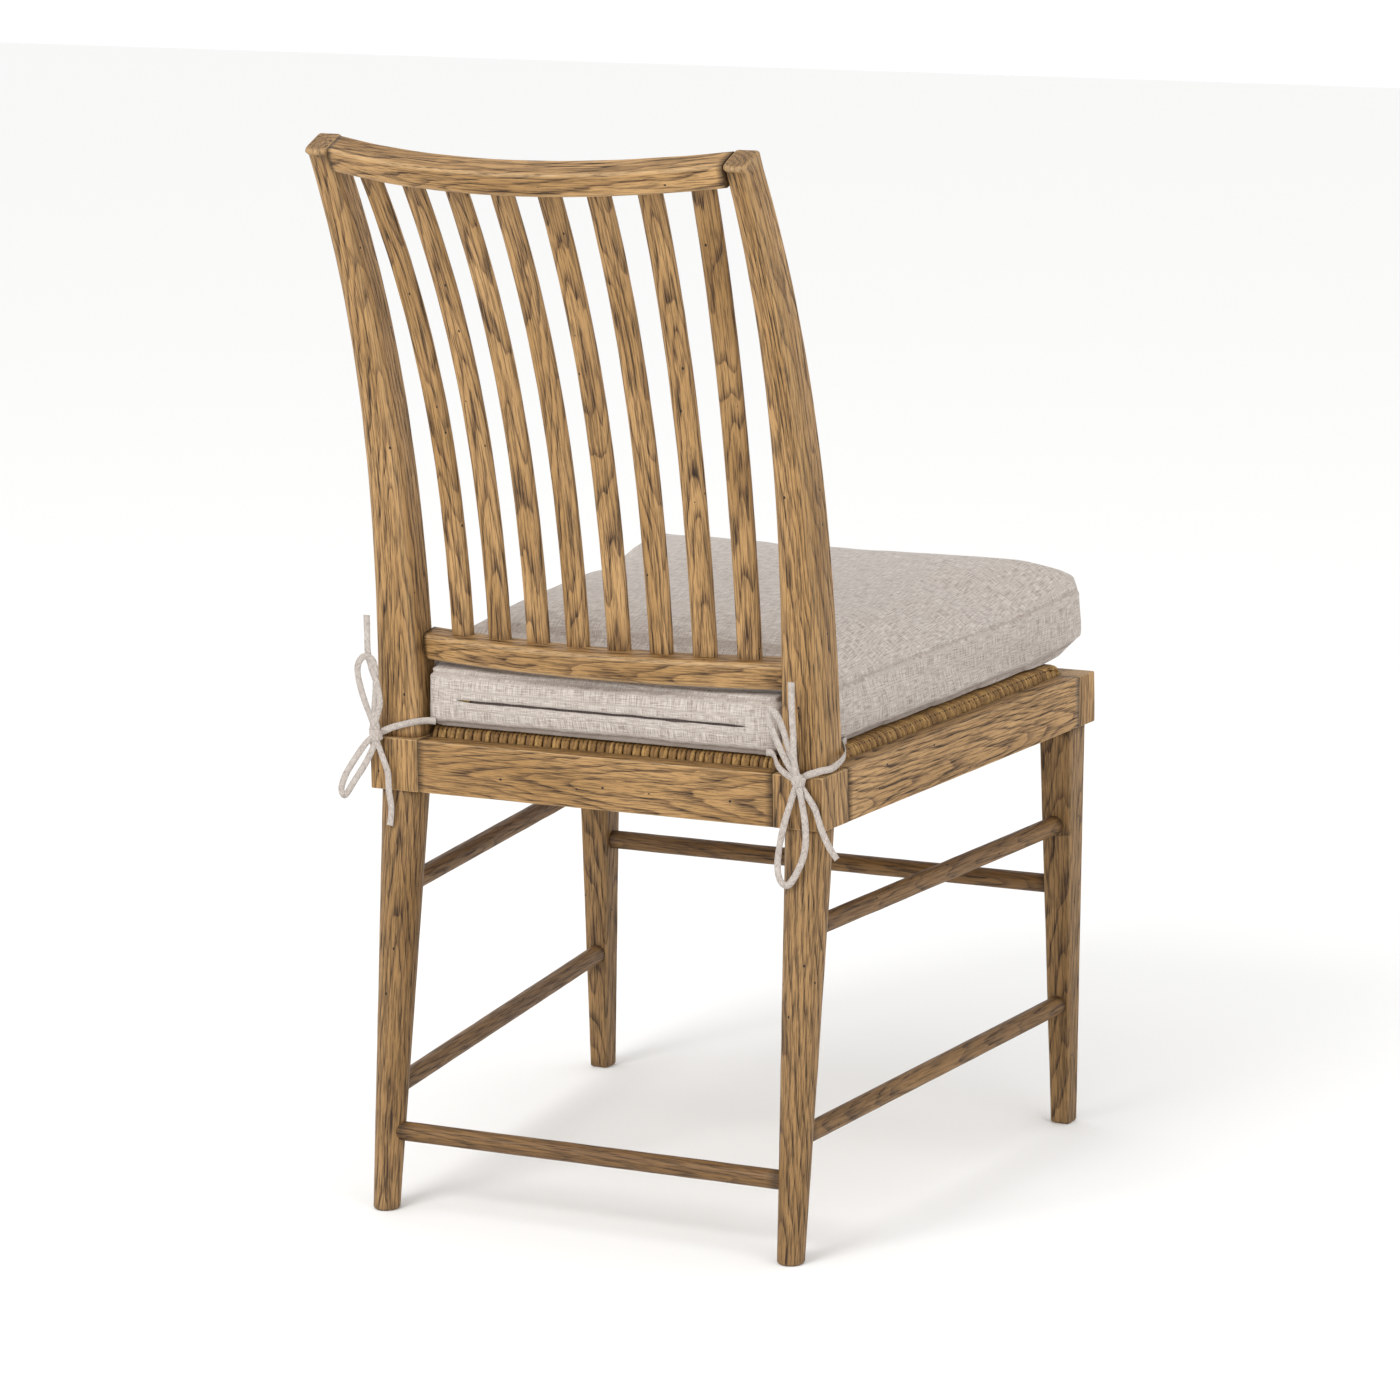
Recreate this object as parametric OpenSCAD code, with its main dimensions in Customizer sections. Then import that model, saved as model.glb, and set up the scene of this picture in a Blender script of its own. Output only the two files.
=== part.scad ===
// Slat-back side chair in oak, with a drop-in rush seat and a tied-on box cushion.
// +Z is up, +Y is towards the back, +X is the sitter's left. Millimetres.
// The origin is on the floor, under the middle of the whole chair.

/* [Seat frame] */
// Height of the seat rails' top edge above the floor
seat_h = 440; // [400:1:480]
// Width across the seat frame at its back corners
seat_back_w = 464; // [420:1:500]
// Width across the seat frame at its front corners
seat_front_w = 544; // [500:1:620]
// Depth of the seat frame, from its back face to its front face
seat_d = 512; // [440:1:600]
// Height of the seat rails
rail_h = 49; // [42:1:60]
// Thickness of the seat rails, with the rebate
rail_t = 33; // [30:1:38]
// Length of the tenons on the seat rails
rail_tenon_l = 20; // [12:1:24]
// Width of the rail's top that shows round the rush seat
ledge_w = 22; // [18:1:24]
// Depth of the rebate that the rush seat drops into
rebate_h = 18; // [12:1:22]

/* [Rear posts] */
// Width of the squared block where the rails meet the rear post
block_w = 50; // [44:1:56]
// Depth of the squared block of the rear post
block_d = 45; // [40:1:48]
// Diameter of the rear leg just under the block
rear_leg_top_d = 44; // [36:1:44]
// Diameter of the rear leg at the floor
rear_leg_foot_d = 25; // [22:1:32]
// How far the rear foot stands behind its block
rear_leg_rake = 57; // [30:1:70]
// Height of the middle of the post's top end
post_top_h = 1000; // [900:1:1080]
// How far the top of the post leans back from the seat
back_lean = 115; // [60:1:140]
// Width of the post just above the seat
post_seat_w = 46; // [42:1:48]
// Width of the post at its top
post_top_w = 24; // [22:1:32]
// Depth of the post just above the seat
post_seat_d = 38; // [34:1:40]
// Depth of the post at its top
post_top_d = 31; // [28:1:34]

/* [Back rails and slats] */
// Thickness of the crest rail
crest_t = 28; // [26:1:32]
// Height of the crest rail
crest_h = 24; // [22:1:36]
// How far the crest rail bows backwards in the middle
crest_bow = 38; // [20:1:45]
// How far the crest rail dips in the middle
crest_dip = 10; // [0:1:14]
// Height of the lower back rail's middle above the seat rails
lower_rail_rise = 84; // [78:1:130]
// Thickness of the lower back rail
lower_rail_t = 27; // [20:1:30]
// Height of the lower back rail
lower_rail_h = 25; // [20:1:32]
// How far the lower back rail bows backwards in the middle
lower_rail_bow = 25; // [10:1:32]
// Distance between slat centres at the lower rail
slat_low_pitch = 42; // [36:1:44]
// Distance between slat centres at the crest rail
slat_top_pitch = 48; // [42:1:50]
// Width of a slat
slat_w = 23; // [18:1:28]
// Thickness of a slat
slat_t = 11; // [8:1:13]

/* [Front legs] */
// Width of the front leg's head block
head_w = 37; // [34:1:42]
// Depth of the front leg's head block
head_d = 32; // [28:1:40]
// Side of the square front leg just under the rails
front_leg_top_w = 34; // [28:1:36]
// Side of the square front leg at the floor
front_leg_foot_w = 20; // [18:1:28]
// How far the head block stands proud of the leg at the front
head_step = 15; // [8:1:18]

/* [Stretchers] */
// Diameter of the round stretchers
stretcher_d = 18; // [14:1:22]
// Depth that a stretcher goes into a leg
stretcher_tenon_l = 9; // [6:1:10]
// Height of the rear stretcher
rear_stretcher_h = 73; // [50:1:140]
// Height of the lower side stretchers at the rear leg
side_low_rear_h = 111; // [100:1:160]
// Height of the lower side stretchers at the front leg
side_low_front_h = 119; // [100:1:160]
// Height of the upper side stretchers
side_high_h = 297; // [270:1:330]
// Height of the front stretcher
front_stretcher_h = 235; // [190:1:250]

/* [Rush seat] */
// Width of the hidden rails of the drop-in seat
seat_rail_w = 46; // [36:1:56]
// Thickness of the hidden rails of the drop-in seat
seat_rail_t = 17; // [14:1:20]
// Thickness of the woven rush over and under its rails
rush_t = 5; // [4:0.5:7]

/* [Cushion] */
// Height of the cushion's sewn side band
band_h = 57; // [40:1:58]
// How far the cushion's top rises in the middle, over the band
crown_h = 40; // [20:1:60]
// How far the cushion hangs over the front of the seat frame
cushion_overhang = 54; // [10:1:60]
// Width of the cushion at its front
cushion_front_w = 504; // [460:1:520]
// Width of the cushion in front of the posts
cushion_rear_w = 410; // [380:1:430]
// Thickness of the cover cloth with its seam allowance
cover_t = 2; // [1:0.5:3]
// Length of the zip in the back of the cover
zip_l = 296; // [200:2:310]

/* [Hidden] */

$fn = 48;
eps = 0.01;

wood = "#8a6a42";
wood_dark = "#6d5233";
rush = "#b08a4c";
linen = "#bfb6ab";
steel = "#a9a69c";

// Shares of the joints
tenon_t = 11;
tenon_edge = 8;
fit_gap = 0.1;
side_front_tenon_l = 10;
dowel_l = 12;
seat_gap = 1;

// Places on the seat frame
back_y = seat_d / 2 - 42;
front_y = back_y - seat_d;
rail_z = seat_h - rail_h;
rebate_z = seat_h - rebate_h;
block_front_y = back_y - block_d;
block_in_x = seat_back_w / 2 - block_w;
head_back_y = front_y + head_d;
head_in_x = seat_front_w / 2 - head_w;
function side_x(y) =
    seat_back_w / 2 + (seat_front_w - seat_back_w) / 2 * (back_y - y) / seat_d;
function side_in_x(y) = side_x(y) - rail_t;

// The upper post leans back along a curve that steepens towards the top
lean_power = 2.6;
post_x = seat_back_w / 2 - 1.5 - post_seat_w / 2;
top_tilt = 22;
function climb(z) = max(0, (z - seat_h) / (post_top_h - seat_h));
function post_y(z) = block_front_y + post_seat_d / 2 + back_lean * pow(climb(z), lean_power);
function post_w(z) = post_seat_w + (post_top_w - post_seat_w) * climb(z);
function post_depth(z) = post_seat_d + (post_top_d - post_seat_d) * climb(z);
function post_in_x(z) = post_x - post_w(z) / 2;

// The two curved rails of the back: middle of each end, and sag towards the middle
crest_y = post_y(post_top_h) - crest_h / 2 * sin(top_tilt);
crest_z = post_top_h - crest_h / 2 * cos(top_tilt);
lower_tilt = 8;
lower_z = seat_h + lower_rail_rise;
lower_y = post_y(lower_z) - 13;
crest_end = post_in_x(crest_z);
lower_end = post_in_x(lower_z);
function bulge(x, half) = 1 - pow(x / half, 2);

// Slats: numbered from the sitter's right to the left. They fan out towards the top and
// stand in the front half of both rails
slat_count = 8;
slat_grip = 4;
function share(z) = (z - lower_z) / (crest_z - lower_z);
function slat_x(i, z) =
    (i - (slat_count + 1) / 2)
    * (slat_low_pitch + (slat_top_pitch - slat_low_pitch) * pow(max(0, share(z)), 2.4));
function slat_half(z) = lower_end + (crest_end - lower_end) * share(z);
function slat_bow(z) = lower_rail_bow - 7 + (crest_bow - lower_rail_bow - 1) * share(z);
function slat_y(x, z) = post_y(z) - 13 + 9 * share(z) + slat_bow(z) * bulge(x, slat_half(z));

// Leg axes: foot and top, for the left side
leg_x = seat_back_w / 2 - rear_leg_top_d / 2 - 2.5;
rear_foot = [leg_x + 2, back_y - rear_leg_top_d / 2 - 0.5 + rear_leg_rake, 0];
rear_top = [leg_x, back_y - rear_leg_top_d / 2 - 0.5, rail_z];
front_half = front_leg_top_w / 2;
front_top = [side_x(front_y + head_step + front_half) - 0.8 - front_half,
             front_y + head_step + front_half, rail_z];
front_foot = front_top + [1.5, 7, -rail_z];
function on_axis(foot, top, z) = foot + (top - foot) * z / rail_z;
function rear_r(z) = (rear_leg_foot_d + (rear_leg_top_d - rear_leg_foot_d) * z / rail_z) / 2;
function front_r(z) = (front_leg_foot_w + (front_leg_top_w - front_leg_foot_w) * z / rail_z) / 2;
function flip(p) = [-p.x, p.y, p.z];

// A stretcher runs from leg to leg, and stops stretcher_tenon_l inside each of them
function reach(p, q, r) = p + (q - p) / norm(q - p) * (r - stretcher_tenon_l);
rear_low = on_axis(rear_foot, rear_top, side_low_rear_h);
front_low = on_axis(front_foot, front_top, side_low_front_h);
rear_high = on_axis(rear_foot, rear_top, side_high_h);
front_high = on_axis(front_foot, front_top, side_high_h);
rear_cross = on_axis(rear_foot, rear_top, rear_stretcher_h);
front_cross = on_axis(front_foot, front_top, front_stretcher_h);
low_a = reach(rear_low, front_low, rear_r(side_low_rear_h));
low_b = reach(front_low, rear_low, front_r(side_low_front_h));
high_a = reach(rear_high, front_high, rear_r(side_high_h));
high_b = reach(front_high, rear_high, front_r(side_high_h));
rear_a = reach(rear_cross, flip(rear_cross), rear_r(rear_stretcher_h));
front_a = reach(front_cross, flip(front_cross), front_r(front_stretcher_h));

// Rush seat: its outline sits in the rebate and clears the posts
weave_z = rebate_z;
weave_h = seat_rail_t + 2 * rush_t;
weave_top = weave_z + weave_h;
frame_z = weave_z + rush_t;

// Corner blocks
brace_h = 18;
brace_z = rail_z + 6;
brace_leg = 70;
brace_rear_y = back_y - rail_t;
brace_front_y = front_y + rail_t;
screw_d = 4;
screw_head_d = 8;
screw_head_h = 3;

// Cushion
cushion_z = weave_top;
band_top = cushion_z + band_h;
tab_half = block_in_x - 1;
tab_y = back_y - 17;
shoulder_y = block_front_y - 4;
cushion_front_y = front_y - cushion_overhang;
corner_r = 28;
zip_z = cushion_z + 28;
slit_h = 8;
slider_l = 11;
slider_rest_x = zip_l / 2 - 8;

// Ribbon ties: 6.4 mm wide and 1.2 mm thick. Points of each run, then the knot's middle
ribbon_w = 6.4;
ribbon_t = 1.2;
route_left_inner = [
    [170, 198.4, 456], [178, 199.6, 456], [187, 204.6, 455.4], [198, 210, 453], [208, 212.5, 450],
    [215, 215.4, 447], [222, 218, 443], [232, 220, 435], [244, 223, 418], [253, 225, 403],
    [257, 226, 390], [253, 226, 385], [244, 225, 398], [233, 222.5, 415], [225, 220, 431],
    [222, 219.4, 443], [221, 220, 457], [215, 222, 474], [217, 223, 492], [222, 224, 507],
    [225, 224, 522], [225, 224, 540], [225, 224, 556]];
route_left_outer = [
    [211, 122, 454], [216.5, 140, 454], [229, 158, 452], [236, 173, 450], [237, 190, 449],
    [236, 204, 449], [231, 213, 447], [222, 216.8, 443], [226, 219, 456], [233, 223, 482],
    [236, 225, 505], [229, 226, 517], [220, 225, 515], [218, 223, 503], [220, 221, 485],
    [223, 219.8, 460], [222, 220.6, 443], [216, 220, 425], [210, 220.5, 409], [209, 221, 392],
    [207, 221, 376], [209, 221, 359]];
route_right_inner = [
    [-169, 198.8, 455.5], [-176.5, 200.4, 455], [-186.5, 210.2, 446.5], [-198, 215.6, 441],
    [-211, 218, 437], [-201, 221, 453], [-192, 223, 473], [-185, 224.5, 492],
    [-186, 225, 500], [-192, 224.5, 498], [-197, 223, 487], [-203, 221, 465],
    [-211, 219.4, 437], [-226, 220, 415], [-233, 221, 397], [-241, 222, 381],
    [-249, 222, 370]];
route_right_outer = [
    [-211, 122, 454.5], [-216.5, 140, 455], [-228, 160, 455], [-236, 176, 454], [-239, 193, 451],
    [-237, 207, 448], [-228, 214.5, 446], [-211, 216.8, 437], [-201, 221, 410],
    [-194, 223, 383], [-191, 224, 360], [-194, 225, 346], [-202, 225, 343],
    [-212, 224.5, 358], [-218, 223.5, 376], [-218, 222, 400], [-211, 220.6, 437],
    [-208, 222, 458], [-208, 222.5, 480], [-207, 222.5, 503], [-207, 222.5, 527]];
knot_left = [222, 219.4, 443];
knot_right = [-211, 219.4, 437];

// A closed skin over rings of points. Each ring turns anticlockwise, seen from the last ring
module loft(rings) {
    n = len(rings[0]);
    m = len(rings);
    sides = [for (i = [0:m - 2], j = [0:n - 1])
        let (a = i * n + j, b = i * n + (j + 1) % n)
        each [[a, a + n, b + n], [a, b + n, b]]];
    first = [for (j = [0:n - 1]) j];
    last = [for (j = [n - 1:-1:0]) (m - 1) * n + j];
    polyhedron([for (r = rings) each r], concat([first], sides, [last]), convexity = 6);
}

// A round bar between two points
module bar(p, q, d1, d2) {
    v = q - p;
    translate(p)
        rotate([0, acos(v.z / norm(v)), atan2(v.y, v.x)])
        cylinder(h = norm(v), d1 = d1, d2 = d2);
}

// A box between two corners
module box(a, b) {
    translate([min(a.x, b.x), min(a.y, b.y), min(a.z, b.z)])
        cube([abs(b.x - a.x), abs(b.y - a.y), abs(b.z - a.z)]);
}

// The same shape on the sitter's right when side is -1
module on_side(side) {
    if (side > 0) children();
    else mirror([1, 0, 0]) children();
}

// Points of a rounded rectangle, anticlockwise: half sizes a and b, corner radii at -b and +b
function rounded(a, b, r_low, r_high, steps) = [
    for (c = [[1, -1, -90, r_low], [1, 1, 0, r_high], [-1, 1, 90, r_high], [-1, -1, 180, r_low]])
        for (k = [0:steps])
            [c[0] * (a - c[3]) + c[3] * cos(c[2] + 90 * k / steps),
             c[1] * (b - c[3]) + c[3] * sin(c[2] + 90 * k / steps)]];

// ---- Rear posts ----
post_rings = 14;
function post_ring(z) =
    let (back_r = 11 - 3 * climb(z))
    [for (p = rounded(post_w(z) / 2, post_depth(z) / 2, 2.5, back_r, 3))
        [post_x + p.x, post_y(z) + p.y, z]];
function post_cap() =
    [for (p = post_ring(post_top_h))
        let (z = post_top_h - tan(top_tilt) * (p.y - post_y(post_top_h)),
             k = post_w(z) / post_w(post_top_h))
        [post_x + (p.x - post_x) * k, p.y, z]];

module rail_tenon_box(y0, y1, x0, x1) {
    box([x0, y0, rail_z + tenon_edge], [x1, y1, rebate_z - 2]);
}

// The tenon of the rear rail, of the side rail at the back, and of the side rail at the front
module rear_tenon() {
    rail_tenon_box(back_y - 22, back_y - 22 + tenon_t, block_in_x, block_in_x + rail_tenon_l);
}
module side_rear_tenon() {
    x = side_in_x(block_front_y) + tenon_t;
    rail_tenon_box(block_front_y, block_front_y + rail_tenon_l, x, x + tenon_t);
}
module side_front_tenon() {
    x = side_in_x(head_back_y) + tenon_t;
    rail_tenon_box(head_back_y, head_back_y - side_front_tenon_l, x, x + tenon_t);
}
module front_tenon() {
    rail_tenon_box(front_y + 6, front_y + 6 + tenon_t, head_in_x, head_in_x + rail_tenon_l);
}

// The tenons of the two back rails, tilted as the rails are
module back_tenon(end_x, y, z, tilt, t, h) {
    translate([end_x - 4, y, z]) rotate([-tilt, 0, 0])
        translate([0, -t / 2, -h / 2]) cube([4 + dowel_l, t, h]);
}
module crest_tenon() {
    back_tenon(crest_end, crest_y, crest_z, top_tilt, 12, crest_h - 10);
}
module lower_tenon() {
    back_tenon(lower_end, lower_y, lower_z, lower_tilt, 11, lower_rail_h - 10);
}

// The socket of a stretcher: a blind hole along the stretcher's own axis
module socket(p, q) {
    bar(p, p + (q - p) / norm(q - p) * 40, stretcher_d + 2 * fit_gap, stretcher_d + 2 * fit_gap);
}

module rear_post(side) {
    axis = (rear_foot - rear_top) / norm(rear_foot - rear_top);
    color(wood) on_side(side) difference() {
        union() {
            intersection() {
                bar(rear_foot + axis * 4, rear_top - axis * 5, rear_leg_foot_d, rear_leg_top_d);
                box([0, 0, 0], [400, 400, seat_h]);
            }
            translate([0, 0, rail_z]) linear_extrude(rail_h) polygon([
                [block_in_x, block_front_y], [side_x(block_front_y), block_front_y],
                [side_x(back_y), back_y], [block_in_x, back_y]]);
            loft(concat(
                [for (k = [0:post_rings]) post_ring(seat_h - 3 + k * (post_top_h - seat_h - 10)
                    / post_rings)],
                [post_cap()]));
        }
        rear_tenon();
        side_rear_tenon();
        crest_tenon();
        lower_tenon();
        socket(low_a, low_b);
        socket(high_a, high_b);
        socket(rear_a, flip(rear_a));
    }
}

// ---- Back rails ----
rail_rings = 8;
function back_rail_ring(x, k, half, y, z, bow, dip, t, h, tilt) =
    [for (p = rounded(t / 2, h / 2, 5, 3.5, 2))
        let (py = y + bow * bulge(x, half) + p.x * cos(tilt) + p.y * sin(tilt),
             pz = z - dip * bulge(x, half) - p.x * sin(tilt) + p.y * cos(tilt))
        [k == rail_rings ? post_in_x(pz) : k == -rail_rings ? -post_in_x(pz) : x, py, pz]];

module back_rail(half, y, z, bow, dip, t, h, tilt) {
    loft([for (k = [-rail_rings:rail_rings])
        back_rail_ring(k * half / rail_rings, k, half, y, z, bow, dip, t, h, tilt)]);
}

module crest_rail() {
    color(wood) difference() {
        union() {
            back_rail(crest_end, crest_y, crest_z, crest_bow, crest_dip, crest_t, crest_h, top_tilt);
            for (s = [1, -1]) on_side(s) crest_tenon();
        }
        for (i = [1:slat_count]) slat_end(i, 1);
    }
}

module lower_back_rail() {
    color(wood) difference() {
        union() {
            back_rail(lower_end, lower_y, lower_z, lower_rail_bow, 0,
                lower_rail_t, lower_rail_h, lower_tilt);
            for (s = [1, -1]) on_side(s) lower_tenon();
        }
        for (i = [1:slat_count]) slat_end(i, 0);
    }
}

// ---- Back slats ----
slat_rings = 12;
slat_low_z = lower_z - slat_grip;
function slat_top_z(i) =
    crest_z - crest_dip * bulge(slat_x(i, crest_z), crest_end);
function slat_ring(i, z, grow) =
    let (x = slat_x(i, z), turn = atan(-2 * slat_bow(z) * x / pow(slat_half(z), 2)))
    [for (p = rounded(slat_w / 2 + grow, slat_t / 2 + grow, 5.2, 5.2, 2))
        [x + p.x * cos(turn) - p.y * sin(turn), slat_y(x, z) + p.x * sin(turn) + p.y * cos(turn), z]];

module slat(i, z0, z1, n, grow) {
    loft([for (k = [0:n]) slat_ring(i, z0 + (z1 - z0) * k / n, grow)]);
}

// The mortise for the lower end (0) or the upper end (1) of a slat
module slat_end(i, end) {
    span = (slat_top_z(i) - slat_low_z) / slat_rings;
    z = end == 0 ? slat_low_z : slat_top_z(i) - span;
    slat(i, z, z + span, 1, fit_gap);
}

module back_slat(i) {
    color(wood) slat(i, slat_low_z, slat_top_z(i), slat_rings, 0);
}

// ---- Seat frame ----
// The rebate that the rush seat drops into, all round
module seat_pocket() {
    back = back_y - ledge_w;
    front = front_y + ledge_w;
    translate([0, 0, rebate_z]) linear_extrude(rebate_h + 1) polygon([
        [side_x(front) - ledge_w, front], [side_x(back) - ledge_w, back],
        [-side_x(back) + ledge_w, back], [-side_x(front) + ledge_w, front]]);
}

module seat_rail_rear() {
    color(wood) difference() {
        union() {
            box([-block_in_x, back_y - rail_t, rail_z], [block_in_x, back_y, seat_h]);
            for (s = [1, -1]) on_side(s) rear_tenon();
        }
        seat_pocket();
        for (s = [1, -1]) on_side(s) brace_screw_hole(brace_screws[0]);
    }
}

module seat_rail_front() {
    color(wood) difference() {
        union() {
            box([-head_in_x, front_y, rail_z], [head_in_x, front_y + rail_t, seat_h]);
            for (s = [1, -1]) on_side(s) front_tenon();
        }
        seat_pocket();
        for (s = [1, -1]) on_side(s) brace_screw_hole(brace_screws[2]);
    }
}

module seat_rail_side(side) {
    color(wood) on_side(side) difference() {
        union() {
            translate([0, 0, rail_z]) linear_extrude(rail_h) polygon([
                [side_in_x(head_back_y), head_back_y], [side_x(head_back_y), head_back_y],
                [side_x(block_front_y), block_front_y], [side_in_x(block_front_y), block_front_y]]);
            side_rear_tenon();
            side_front_tenon();
        }
        seat_pocket();
        brace_screw_hole(brace_screws[1]);
        brace_screw_hole(brace_screws[3]);
    }
}

// ---- Front legs ----
module front_leg(side) {
    color(wood) on_side(side) difference() {
        union() {
            loft([for (z = [0, rail_z])
                [for (p = rounded(front_r(z), front_r(z), 2.5, 2.5, 2))
                    on_axis(front_foot, front_top, z) + [p.x, p.y, 0]]]);
            translate([0, 0, rail_z]) linear_extrude(rail_h) polygon([
                [head_in_x, front_y], [side_x(front_y), front_y],
                [side_x(head_back_y), head_back_y], [head_in_x, head_back_y]]);
        }
        seat_pocket();
        front_tenon();
        side_front_tenon();
        socket(low_b, low_a);
        socket(high_b, high_a);
        socket(front_a, flip(front_a));
    }
}

// ---- Stretchers ----
module stretcher(p, q) {
    color(wood_dark) bar(p, q, stretcher_d, stretcher_d);
}

// ---- Corner blocks and their screws ----
// Each screw: the point where its head seats, its direction, and the length of its shank
brace_mid = brace_z + brace_h / 2;
brace_screws = [
    [[block_in_x - 32, brace_rear_y - 18, brace_mid], [0, 1, 0], 34],
    [[side_in_x(120) - 18, 120, brace_mid], [1, 0, 0], 34],
    [[head_in_x - 40, brace_front_y + 18, brace_mid], [0, -1, 0], 34],
    [[side_in_x(-220) - 18, -220, brace_mid], [1, 0, 0], 34]];

module brace_screw_hole(s) {
    bar(s[0], s[0] + s[1] * s[2], screw_d, screw_d);
}
module brace_screw(s) {
    brace_screw_hole(s);
    bar(s[0] - s[1] * screw_head_h, s[0], screw_head_d, screw_head_d);
}
// The wood taken out of a block for a screw: its shank, and a counterbore for its head
module brace_cut(s) {
    brace_screw_hole(s);
    bar(s[0] - s[1] * 40, s[0], screw_head_d + 1, screw_head_d + 1);
}

// Screws that hold the drop-in seat down, up through the corner blocks
seat_screw_rear = [block_in_x - 16, brace_rear_y - 26, brace_z];
seat_screw_front = [head_in_x - 14, brace_front_y + 30, brace_z];
seat_screw_l = 38;
module seat_screw_hole(p) {
    bar(p, p + [0, 0, seat_screw_l], screw_d, screw_d);
}

module corner_block_rear(side) {
    color(wood_dark) on_side(side) difference() {
        translate([0, 0, brace_z]) linear_extrude(brace_h) polygon([
            [block_in_x - brace_leg, brace_rear_y],
            [side_in_x(block_front_y - brace_leg), block_front_y - brace_leg],
            [side_in_x(block_front_y), block_front_y],
            [block_in_x, block_front_y], [block_in_x, brace_rear_y]]);
        brace_cut(brace_screws[0]);
        brace_cut(brace_screws[1]);
        seat_screw_hole(seat_screw_rear);
    }
}

module corner_block_front(side) {
    color(wood_dark) on_side(side) difference() {
        translate([0, 0, brace_z]) linear_extrude(brace_h) polygon([
            [head_in_x - brace_leg - 10, brace_front_y],
            [side_in_x(brace_front_y), brace_front_y],
            [side_in_x(brace_front_y + brace_leg + 10), brace_front_y + brace_leg + 10]]);
        brace_cut(brace_screws[2]);
        brace_cut(brace_screws[3]);
        seat_screw_hole(seat_screw_front);
    }
}

module corner_block_screws() {
    color(steel) for (side = [1, -1], s = brace_screws) on_side(side) brace_screw(s);
}

module seat_screws() {
    color(steel) for (side = [1, -1], p = [seat_screw_rear, seat_screw_front]) on_side(side) {
        seat_screw_hole(p);
        bar(p - [0, 0, screw_head_h], p, screw_head_d, screw_head_d);
    }
}

// ---- Drop-in seat ----
// Outline of the seat, inset from the rebate; it steps in round the rear posts
module seat_outline(inset) {
    back = back_y - ledge_w - inset;
    front = front_y + ledge_w + inset;
    difference() {
        polygon([
            [side_x(front) - ledge_w - inset, front], [side_x(back) - ledge_w - inset, back],
            [-side_x(back) + ledge_w + inset, back], [-side_x(front) + ledge_w + inset, front]]);
        for (s = [1, -1]) scale([s, 1])
            translate([block_in_x - inset, block_front_y - inset]) square([100, 100]);
    }
}

module seat_ring() {
    difference() {
        seat_outline(seat_gap + rush_t);
        seat_outline(seat_gap + rush_t + seat_rail_w);
    }
}

// One hidden rail: the part of the ring inside a rectangle, drilled for the seat screws
module drop_seat_rail(a, b) {
    color(wood_dark) difference() {
        translate([0, 0, frame_z]) linear_extrude(seat_rail_t) intersection() {
            seat_ring();
            translate(a) square(b - a);
        }
        for (s = [1, -1], p = [seat_screw_rear, seat_screw_front]) on_side(s) seat_screw_hole(p);
    }
}
ring_back = back_y - ledge_w - seat_gap - rush_t - seat_rail_w;
ring_front = front_y + ledge_w + seat_gap + rush_t + seat_rail_w;

module rush_weave() {
    color(rush) difference() {
        translate([0, 0, weave_z]) linear_extrude(weave_h) seat_outline(seat_gap);
        translate([0, 0, frame_z]) linear_extrude(seat_rail_t) seat_ring();
        for (s = [1, -1], p = [seat_screw_rear, seat_screw_front]) on_side(s) seat_screw_hole(p);
    }
}

// ---- Cushion ----
function corner_arc(cx, cy, r, a0) =
    [for (k = [0:4]) [cx + r * cos(a0 + k * 22.5), cy + r * sin(a0 + k * 22.5)]];
// Plan of the cushion in front of the posts, anticlockwise
function cushion_plan(inset) =
    let (f = cushion_front_w / 2 - inset, r = cushion_rear_w / 2 - inset,
         y = cushion_front_y + inset, c = corner_r)
    concat(corner_arc(-f + c, y + c, c, 180), corner_arc(f - c, y + c, c, 270),
        [[r, shoulder_y - inset], [-r, shoulder_y - inset]]);

module cushion_solid(inset) {
    // the body, crowned on top
    hull() {
        translate([0, 0, cushion_z + inset])
            linear_extrude(band_h - 2 * inset) polygon(cushion_plan(inset));
        for (level = [[12, 0.35], [45, 0.8], [95, 1]])
            translate([0, 0, band_top + crown_h * level[1] - inset - 1])
            linear_extrude(1) polygon(cushion_plan(level[0] + inset));
    }
    // the part between the posts
    box([-tab_half + inset, 0, cushion_z + inset],
        [tab_half - inset, tab_y - inset, band_top - inset]);
}

module cushion_cover() {
    color(linen) difference() {
        cushion_solid(0);
        cushion_solid(cover_t);
        box([-zip_l / 2, tab_y - cover_t - 1, zip_z - slit_h / 2],
            [zip_l / 2, tab_y + 1, zip_z + slit_h / 2]);
    }
}

tape_h = slit_h + 8;
tape_t = 2.5;
module cushion_core() {
    color("white") difference() {
        cushion_solid(cover_t);
        box([-zip_l / 2 - 4, tab_y - cover_t - tape_t, zip_z - tape_h / 2],
            [zip_l / 2 + 4, tab_y + 1, zip_z + tape_h / 2]);
    }
}

module zip_tape() {
    color("#8f7f7a") box([-zip_l / 2 - 4, tab_y - cover_t - tape_t, zip_z - tape_h / 2],
        [zip_l / 2 + 4, tab_y - cover_t, zip_z + tape_h / 2]);
}

module zip_slider() {
    color(steel) box(
        [slider_rest_x - slider_l / 2, tab_y - cover_t + 0.1, zip_z - slit_h / 2 + 0.8],
        [slider_rest_x + slider_l / 2, tab_y - 0.1, zip_z + slit_h / 2 - 0.8]);
}

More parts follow.
